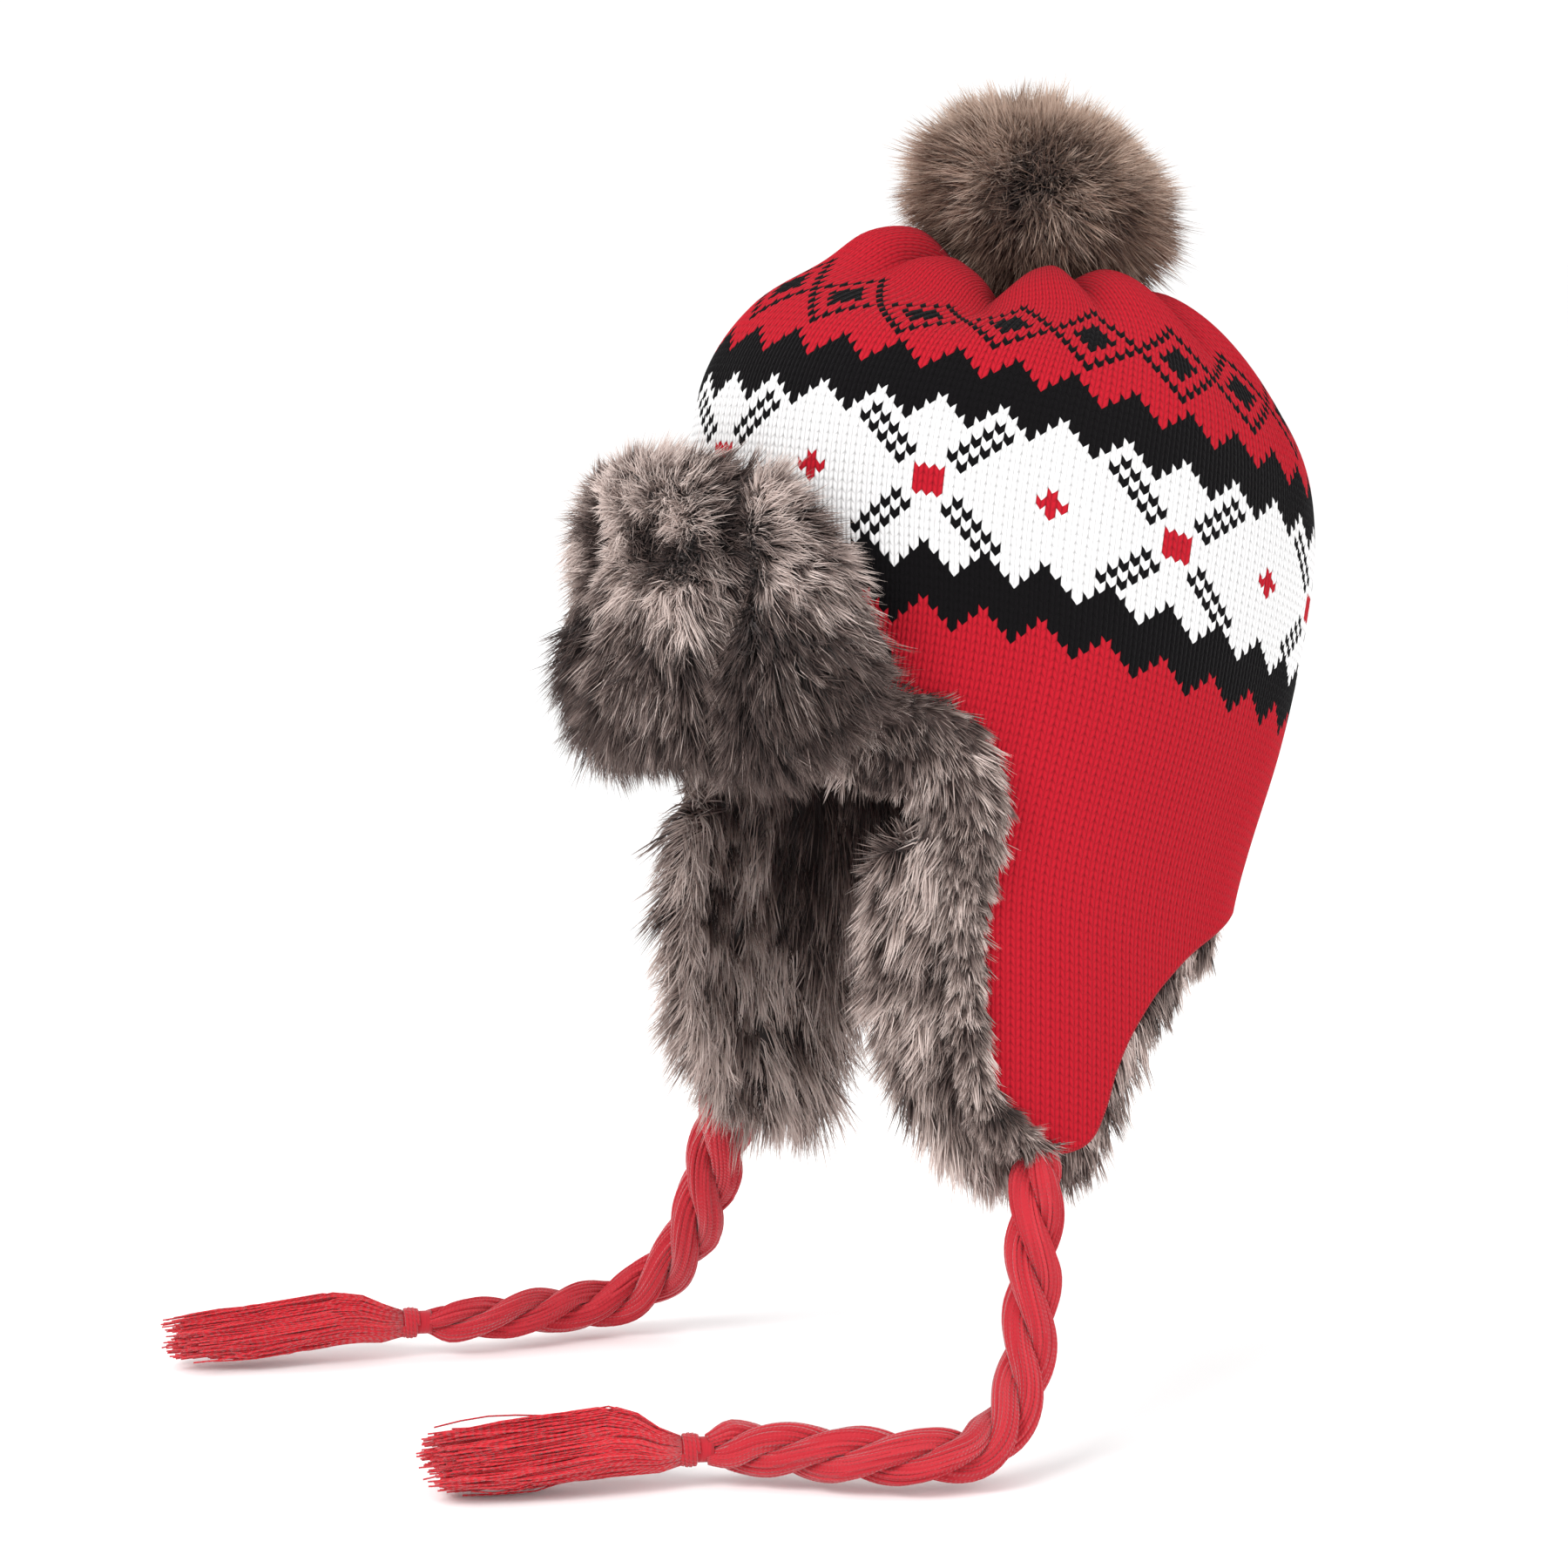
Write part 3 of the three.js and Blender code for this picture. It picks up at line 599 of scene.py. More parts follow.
def add_hairs(soup, rng, roots, ways, bends, long, wide, tone, locks, pull, tilt):
    """Fine tapering hairs. Each starts along its way, turns by its bend and leans its tip into a lock."""
    count = len(roots)
    stations = np.array([0.0, 0.5, 1.0])[:, None]
    heads = rng.choice(count, locks, replace=False)
    tree = KDTree(locks)
    for n, head in enumerate(heads):
        tree.insert(roots[head], n)
    tree.balance()
    near = np.array([tree.find(p)[1] for p in roots])
    bends = bends + rng.normal(0, tilt, (locks, 3))[near]
    line = roots[:, None] + long[:, None, None] * (stations * ways[:, None] + stations**2 * bends[:, None])
    drawn = line[heads, 2][near] - line[:, 2]
    drawn *= np.minimum(1, LOCK_REACH / np.maximum(np.linalg.norm(drawn, axis=-1, keepdims=True), 1e-6))
    strength = pull * rng.uniform(0.4, 1.25, locks)[near]
    line += strength[:, None, None] * stations**1.6 * drawn[:, None]
    tone = np.clip(tone + rng.normal(0, 0.15, locks)[near], 0.01, 0.985)
    side = unit(np.cross(line[:, 2] - line[:, 0], rng.normal(size=(count, 3))))
    half = (wide[:, None] / 2 * side)[:, None] * np.array([0.85, 1.0])[:, None]
    pair = np.stack([line[:, :2] - half, line[:, :2] + half], 2).reshape(count, 4, 3)
    index = soup.add(np.concatenate([pair, line[:, 2:]], 1)) + np.arange(count * 5).reshape(count, 5)
    u = np.stack([tone, tone + 0.005], -1)
    low, mid, tip = (np.full(count, v) for v in (0.02, 0.5, 0.98))
    quad_uv = np.stack([u[:, [0, 1, 1, 0]], np.stack([low, low, mid, mid], -1)], -1)
    tri_uv = np.stack([u[:, [0, 1, 0]], np.stack([mid, mid, tip], -1)], -1)
    soup.quad(index[:, [0, 1, 3, 2]], quad_uv)
    soup.tri(index[:, [2, 3, 4]], tri_uv)


def add_grid(soup, points, colour, relief=None, wrap=False, flip=False):
    """A grid of points (rows, columns, 3) as quads. Its UV grids are one column wider where it wraps."""
    rows, columns = points.shape[:2]
    index = soup.add(points) + np.arange(rows * columns).reshape(rows, columns)
    if wrap:
        index = np.concatenate([index, index[:, :1]], 1)
    relief = colour if relief is None else relief
    parts = [cell_corners(grid) for grid in (index, colour, relief)]
    if flip:
        parts = [p[::-1] for p in parts]
    soup.quad(np.stack(parts[0], -1), np.stack(parts[1], -2), np.stack(parts[2], -2))


def uv_grid(rows, columns, u0=0.0, u1=1.0, v0=0.0, v1=1.0):
    v, u = np.meshgrid(np.linspace(v0, v1, rows), np.linspace(u0, u1, columns), indexing="ij")
    return np.stack([u, v], -1)


# Materials
def new_material(name, roughness, sheen=0.0, specular=0.3):
    material = bpy.data.materials.new(name)
    material.use_nodes = True
    tree = material.node_tree
    shader = tree.nodes["Principled BSDF"]
    shader.inputs["Roughness"].default_value = roughness
    shader.inputs["Specular IOR Level"].default_value = specular
    shader.inputs["Sheen Weight"].default_value = sheen
    shader.inputs["Sheen Roughness"].default_value = 0.5
    return material, tree, shader


def math(tree, kind, a, b=None, c=None):
    node = tree.nodes.new("ShaderNodeMath")
    node.operation = kind
    for socket, value in zip(node.inputs, (a, b, c)):
        if value is None:
            continue
        if isinstance(value, (int, float)):
            socket.default_value = value
        else:
            tree.links.new(value, socket)
    return node.outputs[0]


def ramp(tree, factor, stops):
    node = tree.nodes.new("ShaderNodeValToRGB")
    items = node.color_ramp.elements
    while len(items) < len(stops):
        items.new(0.5)
    for item, (at, colour) in zip(items, stops):
        item.position = at
        item.color = (*colour, 1)
    tree.links.new(factor, node.inputs[0])
    return node.outputs[0]


def uv_parts(tree, layer):
    uv = tree.nodes.new("ShaderNodeUVMap")
    uv.uv_map = layer
    parts = tree.nodes.new("ShaderNodeSeparateXYZ")
    tree.links.new(uv.outputs[0], parts.inputs[0])
    return uv.outputs[0], parts.outputs[0], parts.outputs[1]


def fuzz_noise(tree, uv, stretch, detail):
    """Noise on a UV that is squeezed by the stretch."""
    noise = tree.nodes.new("ShaderNodeTexNoise")
    mapping = tree.nodes.new("ShaderNodeMapping")
    mapping.inputs["Scale"].default_value = stretch
    tree.links.new(uv, mapping.inputs["Vector"])
    tree.links.new(mapping.outputs[0], noise.inputs["Vector"])
    noise.inputs["Scale"].default_value = 1.0
    noise.inputs["Detail"].default_value = detail
    return noise.outputs["Fac"]


def add_bump(tree, shader, height, strength, distance):
    bump = tree.nodes.new("ShaderNodeBump")
    bump.inputs["Strength"].default_value = strength
    bump.inputs["Distance"].default_value = distance
    tree.links.new(height, bump.inputs["Height"])
    tree.links.new(bump.outputs[0], shader.inputs["Normal"])


def srgb(r, g, b):
    """A colour as seen in the photo, from 0 to 255, in linear light."""
    c = np.array([r, g, b]) / 255
    return tuple(np.where(c <= 0.04045, c / 12.92, ((c + 0.055) / 1.055) ** 2.4).tolist())


def fur_material(name, root, low, high, tip):
    """Hair that pales towards its tip; a hair of a low tone stays dark for longer."""
    material, tree, shader = new_material(name, 0.6, 0.12, 0.22)
    _, tone, up = uv_parts(tree, "OFBake")
    late = math(tree, "MULTIPLY_ADD", tone, -3.4, 3.8)
    pale = math(tree, "MULTIPLY_ADD", tone, 0.77, 0.5)
    factor = math(tree, "MULTIPLY", math(tree, "POWER", up, late), pale)
    colour = ramp(tree, factor, [(0.0, root), (0.2, low), (0.55, high), (0.9, tip)])
    tree.links.new(colour, shader.inputs["Base Color"])
    return material


def wave(tree, kind, value, rate):
    """The size of a sine or cosine."""
    return math(tree, "ABSOLUTE", math(tree, kind, math(tree, "MULTIPLY", value, rate)))


def knit_material():
    """Stocking stitch: two rounded legs to each stitch, with painted light on the raised legs, painted
    shade between them, and fuzz over all.
    """
    material, tree, shader = new_material("knit", 0.92, 0.03, 0.08)
    uv, u, v = uv_parts(tree, "Relief")
    leg = wave(tree, "SINE", u, 2 * np.pi)
    loop = wave(tree, "SINE", v, np.pi)
    leg_round = math(tree, "POWER", leg, 0.7)
    loop_round = math(tree, "POWER", loop, 0.6)
    height = math(tree, "MULTIPLY", leg_round, math(tree, "MULTIPLY_ADD", loop_round, 0.55, 0.45))
    fuzz = fuzz_noise(tree, uv, (9.0, 3.0, 1.0), 4.0)
    add_bump(tree, shader, math(tree, "MULTIPLY_ADD", fuzz, 0.5, height), 0.9, 0.0006)
    between = math(tree, "POWER", wave(tree, "COSINE", u, np.pi), 5.0)
    painted_gap_shade = math(tree, "MULTIPLY", between, math(tree, "SUBTRACT", 1.0, loop_round))
    # Painted light and shade: the colour is lighter on the raised legs and darker in the gaps between legs
    # and rows.
    shade = math(tree, "MULTIPLY_ADD", height, 0.2, 0.68)
    shade = math(tree, "MULTIPLY_ADD", fuzz, 0.24, shade)
    shade = math(tree, "MULTIPLY_ADD", painted_gap_shade, -0.4, shade)
    # The colour attribute holds the chart's colours with painted shade in the gather's clefts.
    pattern = tree.nodes.new("ShaderNodeVertexColor")
    pattern.layer_name = "PatternAndCleftShade"
    mix = tree.nodes.new("ShaderNodeMix")
    mix.data_type = "RGBA"
    mix.blend_type = "MULTIPLY"
    mix.inputs["Factor"].default_value = 1.0
    tree.links.new(pattern.outputs[0], mix.inputs["A"])
    tree.links.new(shade, mix.inputs["B"])
    tree.links.new(mix.outputs["Result"], shader.inputs["Base Color"])
    return material


def yarn_material(name, deep, bright, ply):
    """Yarn of two plies that turn as they run, from a deep to a bright tone."""
    material, tree, shader = new_material(name, 0.9, 0.3, 0.08)
    uv, around, run = uv_parts(tree, "Relief")
    twist = math(tree, "MULTIPLY_ADD", run, ply, around)
    strands = math(tree, "SINE", math(tree, "MULTIPLY", twist, 2 * np.pi * 2))
    fuzz = fuzz_noise(tree, uv, (6.0, 0.9, 1.0), 2.0)
    add_bump(tree, shader, math(tree, "MULTIPLY_ADD", strands, 0.3, fuzz), 0.8, 0.0003)
    _, tone, _ = uv_parts(tree, "OFBake")
    colour = ramp(tree, tone, [(0.0, deep), (1.0, bright)])
    tree.links.new(colour, shader.inputs["Base Color"])
    return material


RED = srgb(179, 25, 40)
BLACK = srgb(12, 10, 12)
WHITE = srgb(238, 237, 237)
FUR = fur_material("fur", srgb(32, 22, 21), srgb(76, 60, 56), srgb(146, 128, 121), srgb(208, 191, 184))
POMPOM_FUR = fur_material(
    "pompom_fur", srgb(38, 20, 20), srgb(86, 62, 52), srgb(144, 118, 102), srgb(203, 180, 165))
KNITTED = knit_material()
YARN_RED = yarn_material("yarn", srgb(170, 34, 45), srgb(190, 50, 59), 0.35)
FIBRE_RED = yarn_material("fibre", srgb(198, 34, 48), srgb(216, 54, 62), 0.2)


# Camera first, then the ties
def add_camera():
    azimuth, elevation = np.radians([AZIMUTH, ELEVATION])
    level = np.cos(elevation)
    back = Vector((np.sin(azimuth) * level, -np.cos(azimuth) * level, np.sin(elevation)))
    data = bpy.data.cameras.new("camera")
    data.sensor_width = 36
    data.lens = LENS
    data.clip_end = 100
    camera = bpy.data.objects.new("camera", data)
    bpy.context.scene.collection.objects.link(camera)
    camera.location = Vector(CAMERA_AIM) + CAMERA_FAR * back
    camera.rotation_euler = back.to_track_quat("Z", "Y").to_euler()
    bpy.context.scene.camera = camera
    return np.array(back)


VIEW_BACK = add_camera()


def even_route(points, spacing):
    """The route as points even along its smooth curve."""
    fine = along(points.astype(float), np.linspace(0, len(points) - 1, 1500))
    run = np.r_[0, np.cumsum(np.linalg.norm(np.diff(fine, axis=0), axis=1))]
    count = int(round(run[-1] / spacing)) + 1
    want = np.linspace(0, run[-1], count)
    return np.stack([np.interp(want, run, fine[:, k]) for k in range(3)], -1), want


def add_braid(side, route, seed):
    """Three thick strands of yarn laid round each other along the tie's route."""
    rng = np.random.default_rng(seed)
    middle, run = even_route(route, 2.0)
    ahead = unit(np.gradient(middle, axis=0))
    across = unit(np.cross(ahead, VIEW_BACK))
    deep = np.cross(ahead, across)
    narrow = (0.5 + 0.5 * smooth(run[-1] - run, -2, 9)) * (0.45 + 0.55 * smooth(run, -2, 10))
    narrow *= np.interp(run, [0, run[-1]], TIE_SIZE[side])
    knots = np.linspace(0, run[-1], 20)
    soup = Soup()
    for k in range(3):
        phase = 2 * np.pi * (run / LAY + k / 3) + 0.5
        centre = middle + across * (LAY_SIDE * narrow * np.sin(phase))[:, None]
        centre = centre + deep * (LAY_DEPTH * narrow * np.cos(phase))[:, None]
        facing = unit(np.gradient(centre, axis=0))
        out = unit(on_surface(across, facing))
        high = np.cross(facing, out)
        wander = np.array([np.interp(run, knots, w) for w in rng.normal(0, 0.26, (YARNS, 20))])
        turn = 2 * np.pi * np.arange(YARNS) / YARNS + rng.normal(0, 0.12, YARNS)
        turn = turn[:, None] + run / YARN_LAY
        reach = ((STRAND + wander) * narrow)[..., None]
        lines = centre + out * reach * np.cos(turn)[..., None] + high * reach * np.sin(turn)[..., None]
        add_tubes(soup, lines, (YARN * (0.6 + 0.4 * narrow))[None], 4, rng.uniform(0.1, 0.9, YARNS))
        add_tubes(soup, centre[None], ((STRAND + 0.3) * narrow)[None], 16, np.array([0.3]))
    piece = soup.mesh(f"{side}_braid", YARN_RED, slot="yarn", replaces=[f"braid_{side}"])
    wrap_piece = add_wrap(side, route)
    tassel_piece = add_tassel(side, route, rng)


def end_frame(route):
    """The tie's end, and the ways ahead, aside and up there."""
    ahead = route[-1].astype(float) - route[-2]
    ahead[2] = 0
    ahead = unit(ahead)
    return route[-1].astype(float), ahead, np.cross([0.0, 0.0, 1.0], ahead), np.array([0.0, 0.0, 1.0])


def add_wrap(side, route):
    """The yarn wound round the tie's end."""
    end, ahead, aside, up = end_frame(route)
    t = np.linspace(0, 1, WINDINGS * 16)
    turn = 2 * np.pi * WINDINGS * t
    reach = 4.3 + 0.5 * np.sin(np.pi * t)
    helix = end + ahead * (SEAM + 3 + (WRAP_LONG - 6) * t)[:, None]
    helix = helix + aside * (reach * np.cos(turn))[:, None] + up * (reach * np.sin(turn))[:, None]
    core = end + ahead * np.linspace(SEAM - 2, SEAM + WRAP_LONG + 1, 10)[:, None]
    soup = Soup()
    add_tubes(soup, helix[None], np.full((1, len(t)), 0.85), 6, np.array([0.35]))
    add_tubes(soup, core[None], np.full((1, 10), 4.2), 12, np.array([0.1]))
    return soup.mesh(f"{side}_wrap", YARN_RED, slot="yarn", replaces=[f"wrap_{side}"])


def add_tassel(side, route, rng):
    """The loose yarn beyond the binding, resting on the floor."""
    end, ahead, aside, _ = end_frame(route)
    bulk = 1.0 if side == "left" else 0.85
    start = end + ahead * (WRAP_LONG + 2 * SEAM - 3)
    radius, turn = np.sqrt(rng.random(FIBRES)), rng.random(FIBRES) * 2 * np.pi
    p, q = (radius * np.cos(turn))[:, None], (radius * np.sin(turn))[:, None]
    tuft = (radius * 3).astype(int) * 10 + (turn / (2 * np.pi) * 10).astype(int)
    pulls = rng.normal(0, 1, (3, TUFTS))[:, tuft, None]
    long = TASSEL_LONG * (0.64 + 0.36 * rng.beta(3.2, 2, (FIBRES, 1))) + 2.6 * pulls[0]
    stations = np.linspace(0, 1, 10)
    wide, high, rise = (np.interp(stations, TASSEL[:, 0], TASSEL[:, k]) for k in (1, 2, 3))
    grow = 1 + (bulk - 1) * smooth(stations, 0, 0.3)
    rate, start_at = rng.uniform(4, 11, (2, FIBRES, 1)), rng.uniform(0, 6, (2, FIBRES, 1))
    wave = rng.normal(0, 1, (2, FIBRES, 1)) * np.sin(stations * rate + start_at)
    loose = smooth(stations, 0.05, 0.8)
    strays = rng.random((FIBRES, 1)) < 0.04
    stray = np.where(strays, rng.uniform(1.1, 1.5, (FIBRES, 1)), 1.0) ** smooth(stations, 0.2, 1)
    y = p * wide * grow * stray + (0.9 * wave[0] + 0.9 * pulls[1]) * loose
    level = end[2] + rise * grow + q * high * grow * stray + (0.8 * wave[1] + 0.8 * pulls[2]) * loose
    low = FLOOR + 0.6 + 1.2 * rng.random((FIBRES, 1))
    level = np.where(level < low, low, level)
    line = start + ahead * (stations * long)[..., None] + aside * y[..., None]
    line[..., 2] = level
    soup = Soup()
    add_tubes(soup, line, np.full((FIBRES, 10), FIBRE), 3, rng.uniform(0.05, 0.95, FIBRES))
    return soup.mesh(f"{side}_tassel", FIBRE_RED, slot="yarn", replaces=[f"tassel_{side}"])


add_braid("left", BRAID_LEFT, 3)
add_braid("right", BRAID_RIGHT, 4)


# The knit
def chart(stitch, row):
    """0 red, 1 black and 2 white, by the stitch's number round and the row's number up."""
    beside = np.abs((stitch - STAR_STITCH + TOOTH // 2) % TOOTH - TOOTH // 2)
    half = STAR_REPEAT // 2
    star = np.abs((stitch - STAR_STITCH + half) % STAR_REPEAT - half)
    cross = half - star
    diamond = np.abs((stitch - DIAMOND_STITCH + 5) % DIAMOND_REPEAT - 5) + np.abs(row - DIAMOND_ROW)
    high = np.abs(row)
    colour = np.zeros(np.broadcast(stitch, row).shape, int)
    colour[(row <= 15 - beside) & (row >= -12 - beside)] = 1
    colour[(row <= 9 - beside) & (row >= -6 - beside)] = 2
    colour[(np.abs(star - high) == 1) & (star + high >= 5) & (star + high <= 13)] = 1
    colour[(star <= 1) & (high <= 1)] = 0
    colour[cross + high <= 1] = 0
    colour[(diamond == 5) | (diamond <= 2)] = 1
    return colour


def rim_row(angle):
    """The row at which the knit ends, at an angle from the front."""
    turn = np.degrees(np.mod(angle, 2 * np.pi))
    turn = np.where(turn > 180, 360 - turn, turn)
    return row_of_level(np.interp(turn, RIM_FINE[:, 0], RIM_FINE[:, 1]))


def sag(angle, row):
    """How much lower the puffs before the pompom hang than the part's own."""
    facing = np.degrees(np.mod(angle + np.pi, 2 * np.pi) - np.pi)
    return SAG * np.exp(-(((facing - SAG_ANGLE) / SAG_SPREAD) ** 2)) * smooth(row, 14, 32)


def add_knit():
    """The knit's outside, with a few columns of faces to a stitch, whose rows run in chevrons."""
    columns = STITCHES * PER_STITCH
    at = np.arange(columns)
    across = (at % PER_STITCH) / PER_STITCH
    number = at / PER_STITCH - 0.5 - STITCHES // 2
    angle = angle_of(np.interp(number, STRETCH[:, 1], STRETCH[:, 0]) / STITCHES)
    lowered = np.interp(number, STRETCH[:, 1], STRETCH[:, 2])
    top = int(PATH[-1] / ROW)
    bottom = int(np.floor(row_of_level(RIM_FINE[:, 1].min()))) - 1
    lines = (np.arange(top, bottom - 1, -1) - 0.5)[:, None]
    chevron = CHEVRON * (np.abs(2 * across - 1) - 0.5)
    fall = lowered * (1 - smooth(lines, 12, 40))
    edge = rim_row(angle)
    free = lines - fall + chevron
    row = np.maximum(free, edge)
    gather = cleft(angle) * smooth(lines, 22, 38)
    relief = RELIEF * np.array([0, 1, 0.15, 1])[at % PER_STITCH]
    points = wall(np.broadcast_to(angle, row.shape), step_of_row(row), GATHER * gather - relief)
    points[..., 2] -= sag(angle, lines)
    count = len(lines)
    index = np.arange(count * columns).reshape(count, columns)
    clamped = free <= edge
    first = np.where(clamped.any(0), np.argmax(clamped, 0), count)
    index = np.take_along_axis(index, np.minimum(np.arange(count)[:, None], first), 0)

    def closed(grid):
        return np.concatenate([grid, grid[:, :1]], 1)

    index, row, gather = closed(index), closed(row + fall - chevron), closed(gather)
    u = np.broadcast_to(np.r_[at / PER_STITCH, STITCHES], row.shape)
    v = 0.02 + 0.96 * (row - bottom + 4) / (top - bottom + 8)
    relief_uv = np.stack(cell_corners(np.stack([u, row + 100.5], -1)), -2)
    bake = np.stack(cell_corners(np.stack([u / STITCHES, v], -1)), -2)
    corners = np.stack(cell_corners(index), -1)
    numbers = np.broadcast_to(lines[1:] + 0.5, corners.shape[:2]).astype(int)
    kind = chart(np.broadcast_to(at // PER_STITCH - STITCHES // 2, numbers.shape), numbers)
    # Painted shade: the chart's colours are darkened in the gather's clefts.
    shades = np.array([RED, BLACK, WHITE])[kind] * (1 - 0.55 * gather[:-1, :-1] ** 2)[..., None]
    shades = np.concatenate([shades, np.ones(shades.shape[:2] + (1,))], -1)
    left = corners[..., 0] == corners[..., 1]
    right = corners[..., 2] == corners[..., 3]
    whole = ~left & ~right
    soup = Soup()
    soup.add(points)
    soup.quad(corners[whole], bake[whole], relief_uv[whole])
    colours = [np.repeat(shades[whole], 4, 0)]
    for chosen, kept in ((left & ~right, [0, 2, 3]), (right & ~left, [0, 1, 2])):
        soup.tri(corners[chosen][:, kept], bake[chosen][:, kept], relief_uv[chosen][:, kept])
        colours.append(np.repeat(shades[chosen], 3, 0))
    colours = np.concatenate(colours)
    soup.mesh("knit_outside", KNITTED, slot="knit", replaces=["knit_shell"], colours=colours)


def add_knit_inside():
    """The knit's inside wall, and the turned edge that joins it to the outside."""
    columns = INSIDE_COLUMNS
    share = np.arange(columns) / columns
    rings = [skirt(share, np.full(columns, down), KNIT) for down in np.linspace(1, 0, 12)]
    start = float(step_at(CROWN_START))
    for step in np.linspace(start, INSIDE_TOP, 16)[1:]:
        sink = KNIT * smooth(step, 6, INSIDE_TOP)
        row = along(SECTIONS, step)
        angle = 2 * np.pi * share
        keep = 1 - row[4]
        x = (row[1] * keep - KNIT) * np.sin(angle)
        y = row[3] - (row[2] * keep - KNIT) * np.cos(angle)
        ring = place(x, y, np.full(columns, row[0] - row[5] - sink))
        ring[:, 2] -= sag(angle, np.interp(step, FINE, PATH) / ROW)
        rings.append(ring)
    rings.append(np.broadcast_to(rings[-1].mean(0), (columns, 3)))
    points = np.stack(rings)
    soup = Soup()
    relief = uv_grid(len(points), columns + 1, 0, STITCHES, 0, 100)
    add_grid(soup, points, uv_grid(len(points), columns + 1), relief, wrap=True, flip=True)
    halves = [np.linspace(k, k + 1, HEM_POINTS, endpoint=False) for k in (0, 1)]
    edge = skirt(np.concatenate(halves) / 2, np.ones(2 * HEM_POINTS), KNIT / 2)
    add_tubes(soup, edge[None], np.full((1, 2 * HEM_POINTS), HEM), 8, np.array([0.5]), closed=True)
    faces = sum(len(q) for q in soup.quads)
    colours = np.tile([*RED, 1], (4 * faces, 1))
    soup.mesh("knit_inside", KNITTED, slot="knit", colours=colours)


add_knit()
add_knit_inside()


# The fur
def grid_normals(points):
    return unit(np.cross(np.gradient(points, axis=1), np.gradient(points, axis=0)))


def brim_depth(angle, at):
    """How deep the hair's roots lie under the brim flap's outside."""
    ends = 8 * smooth(angle, 24, 38) * (1 - 0.6 * smooth(at, 7, 9))
    top = (7 + 8 * smooth(-angle, 6, 30)) * smooth(5.2 - at, 0, 1)
    return (4 + ends + top) * smooth(at, 1, 3)


def add_brim():
    """The brow flap's hair, parted at its creases and given painted shade there, and the skin under it."""
    rng = np.random.default_rng(11)
    columns, rows = BRIM_GRID
    angle, at = np.linspace(-BRIM_END, BRIM_END, columns), np.linspace(0, len(BRIM_ROUND) - 1, rows)
    grid_angle, grid_at = np.meshgrid(angle, at)
    points = brim_point(grid_angle, grid_at)
    weight = np.ones((rows - 1, columns - 1)) * smooth((at[1:] + at[:-1]) / 2, 1.6, 3.0)[:, None]
    spot, normal, across, down, i, j = scatter(rng, points, BRIM_HAIRS, weight)
    normal = -normal
    turn = np.interp(j, np.arange(columns), angle)
    where = np.interp(i, np.arange(rows), at)
    out = np.stack([(turn + 3) / 34, (where - 5.9) / 1.6], -1)
    out *= np.minimum(1.1, 1 / np.maximum(np.linalg.norm(out, axis=-1, keepdims=True), 1e-6))
    lift = 1 - 0.65 * smooth(-turn, 4, 20) * (out[:, 1] < 0)
    under = smooth(where, 9.2, 10)
    flow = (across * out[:, :1] + down * out[:, 1:] * lift[:, None]) * (1 - 0.8 * under)[:, None]
    low = smooth(where + 0.9 * smooth(turn, 10, 30), 6.9, 8.1)[:, None]
    face = smooth(where, 3.6, 4.6) * (1 - smooth(where, 9, 10))
    groove = GROOVE_ANGLE + 2.6 * (where - 5.6)
    dimple = 6.35 - 0.25 * ((turn - 5) / 9) ** 2
    crease = face * np.exp(-(((np.abs(turn) - groove) / 2.6) ** 2))
    middle = 1 - smooth(np.abs(turn - 4), 8, 13)
    crease = crease + face * np.exp(-(((where - dimple) / 0.26) ** 2)) * middle
    side = smooth(-turn, 12, 30) * smooth(where, 4.6, 5.4)
    depth = brim_depth(turn, where) + 1.8 * lumps(spot, 24, 21) + crease - 2 * side
    ways = unit((0.75 + 0.3 * low) * normal + 0.7 * flow + 0.24 * rng.normal(size=normal.shape))
    bends = 0.36 * flow - (0.36 - 0.22 * low) * normal + 0.12 * rng.normal(size=normal.shape)
    long = rng.uniform(7.5, 11.5, BRIM_HAIRS) + 5 * low[:, 0] - crease + 5 * side - 3.5 * under
    long *= 1 - 0.35 * smooth(-turn, 4, 18) * smooth(6 - where, 0, 1.5)
    # Painted shade: hairs in the groove and dimple creases get a darker tone.
    tone = 0.94 - 1.06 * low[:, 0] - 0.85 * crease
    tone = tone - 0.16 * smooth(turn, 6, 22) - 0.1 * smooth(-turn, 12, 30)
    tone += 0.4 * smooth(where, 9.1, 9.7) * (1 - smooth(turn, 4, 20))
    tone += 0.3 * lumps(spot, 20, 22) + rng.normal(0, 0.06, BRIM_HAIRS) * (1 + 5 * low[:, 0])
    wide = rng.uniform(0.26, 0.46, BRIM_HAIRS)
    roots = spot - depth[:, None] * normal
    soup = Soup()
    add_hairs(soup, rng, roots, ways, bends, long, wide, tone, BRIM_LOCKS, 0.45 + 0.3 * low[:, 0], 0.18)
    soup.mesh("brim_fur", FUR, slot="fur", replaces=["brim_flap"])
    skin = Soup()
    sink = (brim_depth(grid_angle, grid_at) + 2.5) * smooth(grid_at, 1, 3)
    sunk = (points + sink[..., None] * grid_normals(points))[::2, ::2]
    add_grid(skin, sunk, uv_grid(*sunk.shape[:2], *SKIN_TONES, *SKIN_DARK))
    skin.mesh("brim_skin", FUR, slot="fur")


def roll_point(share, turn):
    """A point of the fur over the knit's front edges: turn runs from the edge, at 0, to the roll's top."""
    number = rim_number(share)
    wide = np.interp(number, ROLL[:, 0], ROLL[:, 1])
    high = np.minimum(8, 0.45 * wide)
    over = ROLL_START * np.minimum(1, wide / 4)
    past = over - (wide + over) * (1 - np.cos(turn)) / 2
    return skirt(share, np.ones_like(number), 1 - (high + 1.5) * np.sin(turn), past)


